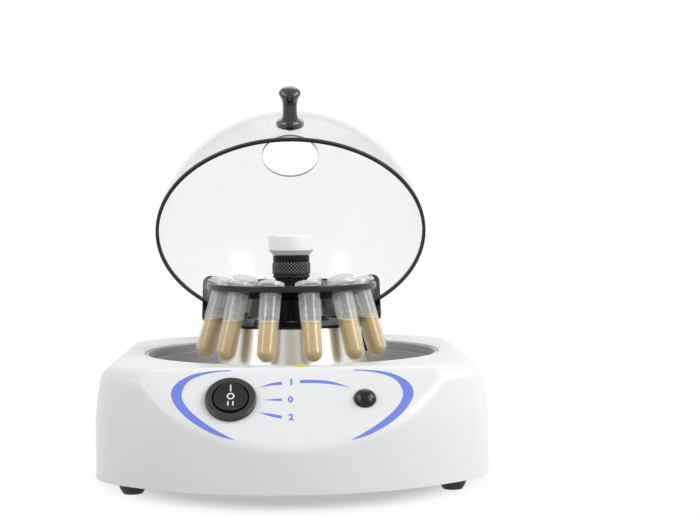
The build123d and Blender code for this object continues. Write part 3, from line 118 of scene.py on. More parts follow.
class Shader:
    """A material under construction."""

    def __init__(self, name: str) -> None:
        """Start an empty node material of that name."""
        self.material = bpy.data.materials.new(name)
        self.material.use_nodes = True
        self.tree = self.material.node_tree
        self.tree.nodes.clear()

    def node(self, kind: str, settings: dict[str, Any], inputs: dict[Any, Any]) -> bpy.types.Node:
        """Add a node.

        Args:
            kind: The node's type name.
            settings: Its properties, set first; "stops" holds a ramp's stops.
            inputs: Values or terms for its sockets, by name or index.

        Returns:
            The new node.
        """
        made = self.tree.nodes.new(kind)
        for key, value in settings.items():
            if key == "stops":
                for index, (place, colour) in enumerate(value):
                    elements = made.color_ramp.elements
                    stop = elements[index] if index < len(elements) else elements.new(place)
                    stop.position = place
                    stop.color = (*colour, 1.0)
            else:
                setattr(made, key, value)
        for key, value in inputs.items():
            if isinstance(value, Term):
                self.tree.links.new(value.socket, made.inputs[key])
            else:
                made.inputs[key].default_value = value
        return made

    def add(self, kind: str, settings: dict[str, Any], inputs: dict[Any, Any], output: Any = 0) -> Term:
        """Add a node and return one of its outputs as a term."""
        return Term(self, self.node(kind, settings, inputs).outputs[output])

    def place(self, scale: Triple) -> Term:
        """Object coordinates, stretched by scale."""
        point = self.add("ShaderNodeTexCoord", {}, {}, "Object")
        return self.add("ShaderNodeMapping", {}, {"Vector": point, "Scale": scale})

    def noise(self, vector: Term, scale: float, detail: float) -> Term:
        """Noise from 0 to 1 at that many features a metre."""
        return self.add("ShaderNodeTexNoise", {}, {"Vector": vector, "Scale": scale, "Detail": detail})

    def mix(self, factor: Any, first: Any, second: Any) -> Term:
        """Mix two colours."""
        first = first if isinstance(first, Term) else (*first, 1.0)
        second = second if isinstance(second, Term) else (*second, 1.0)
        return self.add("ShaderNodeMix", {"data_type": "RGBA"}, {0: factor, 6: first, 7: second}, 2)

    def bump(self, height: Term, strength: float, distance: float) -> Term:
        """Normal bent by a height."""
        return self.add("ShaderNodeBump", {}, {"Strength": strength, "Distance": distance, "Height": height})

    def end(self, inputs: dict[str, Any], glint: Any = None, soft: float = 0.08) -> bpy.types.Material:
        """Add the surface shader and the output.

        Args:
            inputs: Values or terms for the main surface.
            glint: Share of a clear mirror laid over it, if any.
            soft: Roughness of that mirror.

        Returns:
            The finished material.
        """
        surface = self.add("ShaderNodeBsdfPrincipled", {}, inputs)
        if glint is not None:
            gloss = {"Base Color": (1.0, 1.0, 1.0, 1.0), "Metallic": 1.0, "Roughness": soft}
            mirror = self.add("ShaderNodeBsdfPrincipled", {}, gloss)
            surface = self.add("ShaderNodeMixShader", {}, {0: glint, 1: surface, 2: mirror})
        self.node("ShaderNodeOutputMaterial", {}, {"Surface": surface})
        return self.material


@dataclass(frozen=True)
class Finish:
    """One finish of the object, made into a material when it is first used."""

    name: str
    colour: Colour
    roughness: float
    surface: Surface = Surface.MOULDED
    metallic: float = 0.0
    mottle: float = 0.06
    grain: float = 1100.0
    relief: float = 0.12
    coat: float = 0.0
    cover: float = 1.0
    # Painted highlight colour: of a knurl's ridges, and of a liquid's rim at its level.
    edge: Colour = (0.6, 0.6, 0.6)
    fall: float = 2.2
    rim: float = 0.4
    shine: float = 0.5
    glint: float = 0.03
    glare: float = 0.3
    soft: float = 0.08
    ridges: int = 48
    pitch: float = 0.0016
    bands: tuple[tuple[float, Colour], ...] = ()

    def material(self) -> bpy.types.Material:
        """Return the material, building it the first time."""
        made = bpy.data.materials.get(f"{self.name}_finish")
        return made if made else self._build()

    def _build(self) -> bpy.types.Material:
        """Build the material for the kind of surface."""
        shader = Shader(f"{self.name}_finish")
        stretch = (1.0, 1.0, 1.0)
        if self.surface is Surface.TURNED:
            stretch = TURNED_STRETCH
        point = shader.place(stretch)
        broad = shader.noise(point, BROAD_SCALE, BROAD_DETAIL)
        fine = shader.noise(point, self.grain, FINE_DETAIL)
        dull = tuple(max(0.0, channel * (1.0 - self.mottle)) for channel in self.colour)
        colour = shader.mix(broad, self.colour, dull)
        height = fine
        inputs: dict[str, Any] = {}
        if self.surface is Surface.KNURLED:
            height = self._knurl(shader)
            # Painted highlight: the knurl's ridges take the lighter edge colour for the light that they catch.
            colour = shader.mix(height ** KNURL_SHARPNESS, self.colour, self.edge)
        # Painted shade line and painted highlight rim at the liquid's level.
        if self.surface is Surface.LIQUID:
            colour = self._level(shader, colour)
        # Painted reflection: the colour is upright light and dark bands round the spindle axis.
        if self.surface is Surface.PAINTED_REFLECTION:
            colour = self._painted_reflection_bands(shader)
        glint = None
        if self.surface is Surface.CLEAR:
            facing = shader.add("ShaderNodeLayerWeight", {}, {"Blend": FACING_BLEND}, "Facing") ** self.fall
            inputs["Alpha"] = self.cover + facing * self.rim
            glint = self.glint + facing * self.glare
        inputs["Specular IOR Level"] = self.shine
        inputs["Base Color"] = colour
        inputs["Metallic"] = self.metallic
        inputs["Roughness"] = self.roughness * (ROUGHNESS_LOW + broad * ROUGHNESS_SPAN)
        inputs["Coat Weight"] = self.coat
        inputs["Coat Roughness"] = COAT_ROUGHNESS
        if self.relief > 0.0:
            inputs["Normal"] = shader.bump(height, self.relief, BUMP_DISTANCE)
        return shader.end(inputs, glint, self.soft)

    def _around(self, shader: Shader) -> tuple[Term, Term]:
        """Angle about the spindle axis, in turns, and height in metres."""
        point = shader.add("ShaderNodeTexCoord", {}, {}, "Object")
        split = shader.node("ShaderNodeSeparateXYZ", {}, {"Vector": point})
        across = {0: Term(shader, split.outputs[0]), 1: 0.0 - Term(shader, split.outputs[1])}
        angle = shader.add("ShaderNodeMath", {"operation": "ARCTAN2"}, across)
        return angle * (1.0 / math.tau), Term(shader, split.outputs[2])

    def _knurl(self, shader: Shader) -> Term:
        """Crossed ridges round the spindle axis, as a height from 0 to 1."""
        turns, up = self._around(shader)
        waves = []
        for side in (-1.0, 1.0):
            phase = turns * (math.tau * self.ridges) + up * (side * math.tau / self.pitch)
            waves.append(shader.add("ShaderNodeMath", {"operation": "SINE"}, {0: phase}))
        return shader.add("ShaderNodeMath", {"operation": "ABSOLUTE"}, {0: waves[0] * waves[1]})

    def _level(self, shader: Shader, colour: Term) -> Term:
        """Darker line and pale rim of a liquid near its level: painted shade at the meniscus line and a painted
        highlight on its rim.
        """
        _, up = self._around(shader)
        along = (up - LEVEL + LEVEL_REACH) * LEVEL_SCALE
        span = {"stops": ((0.0, BLACK), (0.35, BLACK), (0.5, WHITE), (0.62, BLACK), (1.0, BLACK))}
        dark = shader.add("ShaderNodeValToRGB", span, {0: along})
        span = {"stops": ((0.0, BLACK), (0.6, BLACK), (0.74, WHITE), (1.0, WHITE))}
        pale = shader.add("ShaderNodeValToRGB", span, {0: along})
        shaded = tuple(channel * LEVEL_PAINTED_SHADE for channel in self.colour)
        return shader.mix(pale, shader.mix(dark, colour, shaded), self.edge)

    def _painted_reflection_bands(self, shader: Shader) -> Term:
        """Painted reflection: light and dark upright bands painted into the colour, standing in for what the
        polished sheet mirrors round it.
        """
        turns, _ = self._around(shader)
        ramp = {"stops": self.bands}
        return shader.add("ShaderNodeValToRGB", ramp, {0: turns + 0.5})


BLACK = (0.0, 0.0, 0.0)
WHITE = (1.0, 1.0, 1.0)
WHITE_BODY = Finish("white_body", (0.84, 0.845, 0.85), 0.34, mottle=0.02, relief=0.05, coat=0.1)
BASE_PAINT = Finish("base_paint", (0.6, 0.61, 0.62), 0.5)
SOFT_BLACK = Finish("soft_black_rubber", (0.02, 0.02, 0.02), 0.55, mottle=0.2)
SEAL_BLACK = Finish("seal_rubber", (0.015, 0.015, 0.016), 0.42, mottle=0.2, relief=0.08)
SCREW_STEEL = Finish("screw_steel", (0.55, 0.55, 0.56), 0.3, Surface.TURNED, 1.0)
WELL_GREY = Finish("well_grey", (0.61, 0.62, 0.62), 0.38, mottle=0.05)
# Tones of the polished cover's painted reflection: light and dark bands painted into its colour.
SHEET_REFLECTED_LIGHT = (0.93, 0.92, 0.90)
SHEET_REFLECTED_MIDDLE = (0.78, 0.76, 0.68)
SHEET_REFLECTED_DARK = (0.52, 0.50, 0.44)
POLISHED = Finish(
    "polished_cover", SHEET_REFLECTED_LIGHT, 0.32, Surface.PAINTED_REFLECTION, 0.8, relief=0.0,
    bands=(
        (0.0, SHEET_REFLECTED_LIGHT), (0.2, SHEET_REFLECTED_MIDDLE), (0.30, SHEET_REFLECTED_LIGHT), (0.45, SHEET_REFLECTED_LIGHT), (0.474, SHEET_REFLECTED_LIGHT),
        (0.490, SHEET_REFLECTED_DARK), (0.503, SHEET_REFLECTED_DARK), (0.532, SHEET_REFLECTED_LIGHT), (0.61, SHEET_REFLECTED_LIGHT),
        (0.66, SHEET_REFLECTED_MIDDLE), (0.72, SHEET_REFLECTED_LIGHT), (0.85, SHEET_REFLECTED_MIDDLE), (1.0, SHEET_REFLECTED_LIGHT),
    ),
)
BLACK_PLATE = Finish("black_plate", (0.008, 0.008, 0.009), 0.4, relief=0.05, shine=0.25)
MOTOR_ZINC = Finish("motor_zinc", (0.35, 0.35, 0.36), 0.35, Surface.TURNED, 1.0)
SCREW_BLACK = Finish("black_screw", (0.015, 0.015, 0.015), 0.15, relief=0.02)
SPINDLE_STEEL = Finish("spindle_steel", (0.6, 0.6, 0.61), 0.2, Surface.TURNED, 1.0)
HUB_BLACK = Finish("hub_black", (0.004, 0.004, 0.0045), 0.3, relief=0.05, shine=0.15)
ROTOR_BLACK = Finish("rotor_black", (0.010, 0.010, 0.011), 0.22, relief=0.03, shine=0.35)
# The edge colours of the collar and the lock ring are painted highlights on their knurl's ridges.
COLLAR_BLACK = Finish(
    "collar_black", (0.006, 0.006, 0.007), 0.3, Surface.KNURLED, relief=0.8, edge=(0.22, 0.22, 0.23),
    ridges=14, pitch=0.0037, shine=0.15,
)
RING_BLACK = Finish(
    "ring_black", (0.006, 0.006, 0.007), 0.3, Surface.KNURLED, relief=1.0, edge=(0.42, 0.42, 0.43),
    ridges=17, pitch=0.0037, shine=0.15,
)
CUP_WHITE = Finish("cup_white", (0.975, 0.975, 0.97), 0.4, mottle=0.01, relief=0.05, coat=1.0)
BUSH_BRONZE = Finish("bush_bronze", (0.45, 0.28, 0.12), 0.4, Surface.TURNED, 1.0)
TUBE_FROST = Finish(
    "tube_frost", (0.92, 0.92, 0.90), 0.2, Surface.CLEAR, mottle=0.02, relief=0.0, cover=0.11,
    fall=2.2, rim=0.5, glint=0.03, glare=0.25, soft=0.11,
)
MARK_FROST = Finish(
    "mark_frost", (0.85, 0.84, 0.8), 0.3, Surface.CLEAR, mottle=0.02, relief=0.0, cover=0.3, rim=0.0, glint=0.02,
)
CAP_FROST = Finish(
    "cap_frost", (0.9, 0.9, 0.89), 0.25, Surface.CLEAR, mottle=0.04, relief=0.05, cover=0.5,
    rim=0.4, glint=0.06, glare=0.2, soft=0.15,
)
# The liquid's edge colour is the painted highlight on its rim at the level.
SAMPLE = Finish(
    "sample_liquid", (0.70, 0.465, 0.05), 0.25, Surface.LIQUID, mottle=0.12, relief=0.0, edge=(0.85, 0.72, 0.42)
)
LID_CLEAR = Finish(
    "lid_clear", (0.10, 0.03, 0.02), 0.05, Surface.CLEAR, mottle=0.01, relief=0.0, cover=0.042,
    fall=3.2, rim=0.2, glint=0.014, glare=0.08, soft=0.16,
)
# Grey of the dome's clear hole edge: painted shade.
HOLE_EDGE_SHADE = Finish("lid_hole_edge", (0.16, 0.16, 0.165), 0.25, mottle=0.05, relief=0.0)
KNOB_BLACK = Finish("knob_black", (0.008, 0.008, 0.009), 0.12, relief=0.02, coat=0.4)
BRACKET_BLACK = Finish("bracket_black", (0.006, 0.006, 0.0065), 0.3, relief=0.1, shine=0.2)
SWITCH_BLACK = Finish("switch_black", (0.024, 0.024, 0.025), 0.2, relief=0.06)
ROCKER_BLACK = Finish("rocker_black", (0.010, 0.010, 0.013), 0.45, relief=0.15, shine=0.3)
BUTTON_BLACK = Finish("button_black", (0.003, 0.003, 0.0035), 0.06, relief=0.0, shine=0.35)
BRASS = Finish("brass", (0.6, 0.42, 0.16), 0.3, Surface.TURNED, 1.0)
BOX_BLACK = Finish("box_black", (0.02, 0.02, 0.02), 0.5)
BOARD_GREEN = Finish("board_green", (0.02, 0.14, 0.06), 0.4, mottle=0.3, coat=0.3)
PART_BLACK = Finish("part_black", (0.02, 0.02, 0.02), 0.45)
PRINT_BLUE = Finish("print_blue", (0.17, 0.25, 0.76), 0.4, mottle=0.05, relief=0.05)
PRINT_WHITE = Finish("print_white", (0.85, 0.85, 0.85), 0.45, mottle=0.05, relief=0.05)
DOT_YELLOW = Finish("dot_yellow", (0.78, 0.72, 0.03), 0.4, mottle=0.08, relief=0.05)

CAD_FINISHES: dict[str, Finish] = {
    "housing": WHITE_BODY,
    "base_plate": BASE_PAINT,
    "feet": SOFT_BLACK,
    "base_screws": SCREW_STEEL,
    "well_bowl": WELL_GREY,
    "motor_cover": POLISHED,
    "cover_screws": SCREW_STEEL,
    "top_plate": BLACK_PLATE,
    "motor": MOTOR_ZINC,
    "motor_washers": SOFT_BLACK,
    "motor_screws": SCREW_BLACK,
    "hinge_pin": SPINDLE_STEEL,
    "switch_body": SWITCH_BLACK,
    "switch_blades": BRASS,
    "button_box": BOX_BLACK,
    "dc_inlet": BOX_BLACK,
    "inlet_nut": SCREW_STEEL,
    "board_standoffs": BRASS,
    "control_board": BOARD_GREEN,
    "board_parts": PART_BLACK,
    "board_screws": SCREW_STEEL,
    "spindle": SPINDLE_STEEL,
    "rotor_hub": HUB_BLACK,
    "rotor": ROTOR_BLACK,
    "cup_carrier": HUB_BLACK,
    "vortex_cup": CUP_WHITE,
    "cup_bush": BUSH_BRONZE,
    "lid_dome": LID_CLEAR,
    "lid_knob": KNOB_BLACK,
    "knob_screw": SCREW_STEEL,
    "hinge_bracket": BRACKET_BLACK,
    "bracket_screws": SCREW_BLACK,
    "switch_rocker": ROCKER_BLACK,
    "button_cap": BUTTON_BLACK,
    "button_spring": SPINDLE_STEEL,
}


@dataclass
class SubAssembly:
    """What every sub-assembly shares: the body it rides on and how its pieces are finished."""

    body: str = "body"

    def piece(
        self, mesh: bpy.types.Mesh, name: str, finish: Finish, slot: str, stands_for: Sequence[str] = ()
    ) -> bpy.types.Object:
        """Make an object of a finished mesh.

        Args:
            mesh: The mesh, already in its place.
            name: The piece's name.
            finish: Its finish.
            slot: The record's material slot; not used.
            stands_for: The CAD nodes that it replaces.

        Returns:
            The new object, riding on the sub-assembly's body.
        """
        made = bpy.data.objects.new(name, mesh)
        bpy.context.scene.collection.objects.link(made)
        mesh.materials.clear()
        mesh.materials.append(finish.material())
        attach(made, self.body)
        if stands_for:
            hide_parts(*stands_for)
        LOG.info("piece %s: %d faces on %s", name, len(mesh.polygons), self.body)
        return made

    @staticmethod
    def to_mesh(shape: bmesh.types.BMesh, name: str, crease: float = 35.0) -> bpy.types.Mesh:
        """Write a bmesh to a mesh, smooth up to the crease angle in degrees."""
        bmesh.ops.remove_doubles(shape, verts=shape.verts, dist=WELD)
        bmesh.ops.recalc_face_normals(shape, faces=shape.faces)
        mesh = bpy.data.meshes.new(name)
        shape.to_mesh(mesh)
        shape.free()
        mesh.shade_smooth()
        mesh.set_sharp_from_angle(angle=math.radians(crease))
        return mesh

    @staticmethod
    def turned(
        profile: Sequence[tuple[float, float]], rounds: dict[int, float], place: Matrix, steps: int = 48
    ) -> bmesh.types.BMesh:
        """Spin a closed profile about its own axis.

        Args:
            profile: Radius and height of each corner, in millimetres.
            rounds: Rounding in millimetres of the corners with those indices.
            place: Where the axis goes.
            steps: Steps of the full turn.

        Returns:
            The bmesh with the turned body in it.
        """
        made = bmesh.new()
        verts = [made.verts.new((radius * MM, 0.0, height * MM)) for radius, height in profile]
        for pair in zip(verts, verts[1:]):
            made.edges.new(pair)
        for index, offset in rounds.items():
            bmesh.ops.bevel(
                made, geom=[verts[index]], offset=offset * MM, offset_type="OFFSET", segments=8,
                profile=0.5, affect="VERTICES", material=-1,
            )
        bmesh.ops.spin(
            made, geom=made.verts[:] + made.edges[:], cent=(0, 0, 0), axis=(0, 0, 1), dvec=(0, 0, 0),
            angle=math.tau, steps=steps, use_merge=True,
        )
        bmesh.ops.transform(made, matrix=place, verts=made.verts)
        return made

    @staticmethod
    def block(size: Triple, place: Matrix) -> bmesh.types.BMesh:
        """A box of that size in millimetres, put in its place."""
        made = bmesh.new()
        bmesh.ops.create_cube(made, size=1.0)
        bmesh.ops.scale(made, vec=Vector(size) * MM, verts=made.verts)
        bmesh.ops.transform(made, matrix=place, verts=made.verts)
        return made

    @staticmethod
    def joined(shapes: Iterable[bmesh.types.BMesh]) -> bmesh.types.BMesh:
        """Put several shapes into one bmesh."""
        whole = bmesh.new()
        for shape in shapes:
            scratch = bpy.data.meshes.new("scratch")
            shape.to_mesh(scratch)
            shape.free()
            whole.from_mesh(scratch)
            bpy.data.meshes.remove(scratch)
        return whole


@dataclass
class CadDress(SubAssembly):
    """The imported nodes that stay, with smooth shading and their finishes."""

    crease: float = 30.0

    def dress(self, nodes: dict[str, bpy.types.Object]) -> None:
        """Give each listed node its finish."""
        for name, finish in CAD_FINISHES.items():
            self.cover(nodes[name], finish)

    def cover(self, node: bpy.types.Object, finish: Finish) -> None:
        """Give one node its finish and smooth shading, with its sharp edges kept."""
        node.data.materials.clear()
        node.data.materials.append(finish.material())
        LOG.info("node %s: %s", node.name, finish.name)
        node.data.shade_smooth()
        weld = node.modifiers.new("weld", "WELD")
        weld.merge_threshold = WELD
        split = node.modifiers.new("split", "EDGE_SPLIT")
        split.split_angle = math.radians(self.crease)


@dataclass
class FlatPrint(SubAssembly):
    """Flat prints that are laid on a surface of the object."""

    origin: Vector = field(default_factory=Vector)
    across: Vector = field(default_factory=lambda: Vector((1, 0, 0)))
    out: Vector = field(default_factory=lambda: Vector((0, 0, 1)))
    carrier: str = "housing"
    lift: float = 0.04
    reach: float = 0.01
    longest: float = 1.5
    boldness: float = 0.19
    bend: float = 0.3
    print_weld: float = 1e-7

    def place(self) -> Matrix:
        """The print plane's frame as a matrix."""
        up = self.out.cross(self.across)
        turn = Matrix((self.across, up, self.out)).transposed()
        return Matrix.Translation(self.origin) @ turn.to_4x4()

    def outline(self, points: Sequence[tuple[float, float]], corners: Iterable[int]) -> bpy.types.Mesh:
        """A filled smooth outline through points in millimetres, sharp at the given corners."""
        curve = bpy.data.curves.new("outline", "CURVE")
        curve.dimensions = "2D"
        curve.fill_mode = "BOTH"
        curve.resolution_u = 10
        spline = curve.splines.new("BEZIER")
        spline.bezier_points.add(len(points) - 1)
        spline.use_cyclic_u = True
        sharp = set(corners)
        for index, (point, knot) in enumerate(zip(points, spline.bezier_points)):
            knot.co = (point[0] * MM, point[1] * MM, 0.0)
            kind = "FREE" if index in sharp else "AUTO"
            knot.handle_left_type = kind
            knot.handle_right_type = kind
        for index in sharp:
            knot = spline.bezier_points[index]
            before = spline.bezier_points[index - 1]
            after = spline.bezier_points[(index + 1) % len(points)]
            knot.handle_left = knot.co.lerp(before.co, self.bend)
            knot.handle_right = knot.co.lerp(after.co, self.bend)
        return self._solid(curve)

    def text(self, words: str, size: float, centre: tuple[float, float]) -> bpy.types.Mesh:
        """A numeral of that size in millimetres, centred on a point."""
        curve = bpy.data.curves.new("numeral", "FONT")
        curve.body = words
        curve.size = size * MM
        curve.offset = self.boldness * MM
        curve.align_x = "CENTER"
        curve.align_y = "CENTER"
        curve.resolution_u = 8
        mesh = self._solid(curve)
        mesh.transform(Matrix.Translation((centre[0] * MM, centre[1] * MM, 0.0)))
        return mesh

    @staticmethod
    def _solid(curve: bpy.types.Curve) -> bpy.types.Mesh:
        """Turn a flat curve into a mesh."""
        holder = bpy.data.objects.new("holder", curve)
        bpy.context.scene.collection.objects.link(holder)
        bpy.context.view_layer.update()
        mesh = bpy.data.meshes.new_from_object(holder)
        bpy.data.objects.remove(holder)
        return mesh

    def lay(self, meshes: Sequence[bpy.types.Mesh], name: str, finish: Finish, slot: str) -> bpy.types.Object:
        """Lay flat meshes on the carrier and make one piece of them.

        Args:
            meshes: Flat meshes in the print plane.
            name: The piece's name.
            finish: Its finish.
            slot: The record's material slot.

        Returns:
            The new piece.
        """
        shape = bmesh.new()
        for mesh in meshes:
            shape.from_mesh(mesh)
            bpy.data.meshes.remove(mesh)
        bmesh.ops.remove_doubles(shape, verts=shape.verts, dist=self.print_weld)
        long_edges = [edge for edge in shape.edges if edge.calc_length() > self.longest * MM]
        bmesh.ops.subdivide_edges(shape, edges=long_edges, cuts=2)
        bmesh.ops.triangulate(shape, faces=shape.faces)
        bmesh.ops.transform(shape, matrix=self.place(), verts=shape.verts)
        LOG.info("print %s: %d faces", name, len(shape.faces))
        tree = self._surface()
        for vert in shape.verts:
            spot, *_ = tree.ray_cast(vert.co + self.out * self.reach, -self.out, 2.0 * self.reach)
            if spot is not None:
                vert.co = spot + self.out * self.lift * MM
        for face in shape.faces:
            face.normal_update()
            if face.normal.dot(self.out) < 0.0:
                face.normal_flip()
        made = bpy.data.meshes.new(name)
        shape.to_mesh(made)
        shape.free()
        made.shade_smooth()
        return self.piece(made, name, finish, slot)

    def _surface(self) -> BVHTree:
        """Search tree of the carrier node's mesh."""
        mesh = frame["nodes"][self.carrier].data
        verts = [vert.co.copy() for vert in mesh.vertices]
        faces = [tuple(face.vertices) for face in mesh.polygons]
        return BVHTree.FromPolygons(verts, faces)


SLOPE = math.radians(47.7)
PANEL_ORIGIN = Vector((0.0, -0.087, 0.061))
PANEL_OUT = Vector((0.0, -math.sin(SLOPE), math.cos(SLOPE)))
PANEL_UP = Vector((0.0, math.cos(SLOPE), math.sin(SLOPE)))


@dataclass
class PanelPrints(FlatPrint):
    """Blue crescents, position marks and numerals on the sloping panel."""

    origin: Vector = field(default_factory=lambda: PANEL_ORIGIN.copy())
    out: Vector = field(default_factory=lambda: PANEL_OUT.copy())
    numeral: float = 4.6

    def build(self) -> None:
        """Build every mark on the panel as one piece."""
        crescent = (
            (-28.4, -1.0), (-34.0, -1.3), (-39.8, -2.1), (-45.6, -3.6), (-50.5, -6.3), (-53.6, -9.3), (-55.1, -13.0),
            (-54.9, -16.7), (-52.9, -21.0), (-49.3, -25.9), (-44.2, -30.6), (-38.1, -34.8), (-32.2, -37.8),
            (-25.8, -39.9), (-30.6, -36.9), (-36.1, -33.2), (-42.3, -28.0), (-46.7, -23.3), (-49.5, -18.7),
            (-50.4, -15.0), (-49.7, -11.3), (-47.5, -7.5), (-43.8, -5.0), (-38.3, -3.1), (-33.2, -2.1),
            (-28.4, -1.7),
        )
        mirrored = tuple((-x, y - 0.6) for x, y in reversed(crescent))
        meshes = [
            self.outline(crescent, (0, 13, 25)),
            self.outline(mirrored, (0, 12, 25)),
            self.outline(((-15.5, -11.6), (-10.3, -9.3), (-4.9, -8.2), (-4.9, -10.0), (-9.5, -10.3)), (0, 2, 3)),
            self.outline(
                ((3.4, -7.4), (11.1, -7.5), (18.7, -8.8), (26.6, -12.1), (18.6, -10.2), (11.0, -9.3), (3.4, -9.2)),
                (0, 3, 6),
            ),
            self.outline(((-13.9, -18.3), (-5.0, -17.6), (-5.0, -19.1)), (0, 1, 2)),
            self.outline(((-15.4, -25.1), (-10.3, -25.9), (-5.0, -27.1), (-5.0, -28.7), (-10.3, -27.3)), (0, 2, 3)),
            self.text("1", self.numeral, (-0.6, -8.6)),
            self.text("0", self.numeral, (-1.0, -18.4)),
            self.text("2", self.numeral, (-0.8, -28.1)),
        ]
        self.lay(meshes, "panel_prints", PRINT_BLUE, "housing_white")


@dataclass
class LipDot(FlatPrint):
    """Plain yellow dot on the land in front of the well."""

    origin: Vector = field(default_factory=lambda: Vector((0.0, 0.0, 0.061)))
    radius: float = 4.6
    centre: tuple[float, float] = (3.9, -80.6)
    knots: int = 8

    def build(self) -> None:
        """Build the dot as a flat disc."""
        x, y = self.centre
        turns = [math.tau * step / self.knots for step in range(self.knots)]
        ring = [(x + self.radius * math.cos(turn), y + self.radius * math.sin(turn)) for turn in turns]
        self.lay([self.outline(ring, ())], "lip_dot", DOT_YELLOW, "housing_white")


@dataclass
class RockerMarks(FlatPrint):
    """White position marks on the rocker's dished face."""

    body: str = "rocker"
    carrier: str = "switch_rocker"
    x: float = -28.1
    drop: float = 18.3
    above: float = 2.5
    bars: tuple[tuple[float, float, float, float], ...] = (
        (0.0, 4.9, 0.62, 3.2), (-1.15, -3.3, 0.62, 2.7), (1.15, -3.3, 0.62, 2.7),
    )
    ring: tuple[float, float, float, float] = (0.0, 0.8, 1.75, 1.1)

    def build(self) -> None:
        """Build the one bar, the ring and the two bars."""
        self.out = PANEL_OUT.copy()
        side = Vector((self.x * MM, 0, 0))
        self.origin = PANEL_ORIGIN + PANEL_UP * -self.drop * MM + side + self.out * self.above * MM
        meshes = [self._bar(*bar) for bar in self.bars] + [self._ring(*self.ring)]
        self.lay(meshes, "rocker_marks", PRINT_WHITE, "rocker_black")

    @staticmethod
    def _bar(x: float, y: float, width: float, height: float) -> bpy.types.Mesh:
        """A flat bar."""
        shape = bmesh.new()
        place = Matrix.Translation((x * MM, y * MM, 0.0)) @ Matrix.Diagonal((width * MM, height * MM, 1.0, 1.0))
        bmesh.ops.create_grid(shape, x_segments=2, y_segments=5, size=0.5, matrix=place)
        mesh = bpy.data.meshes.new("bar")
        shape.to_mesh(mesh)
        shape.free()
        return mesh

    @staticmethod
    def _ring(x: float, y: float, outer: float, inner: float) -> bpy.types.Mesh:
        """A flat ring."""
        shape = bmesh.new()
        place = Matrix.Translation((x * MM, y * MM, 0.0))
        made = bmesh.ops.create_circle(shape, cap_ends=True, segments=32, radius=outer * MM, matrix=place)
        face = made["verts"][0].link_faces[0]
        bmesh.ops.inset_region(shape, faces=[face], thickness=(outer - inner) * MM, use_boundary=True)
        shape.faces.ensure_lookup_table()
        middle = min(shape.faces, key=lambda item: (item.calc_center_median() - place.translation).length)
        bmesh.ops.delete(shape, geom=[middle], context="FACES_ONLY")
        mesh = bpy.data.meshes.new("ring")
        shape.to_mesh(mesh)
        shape.free()
        return mesh


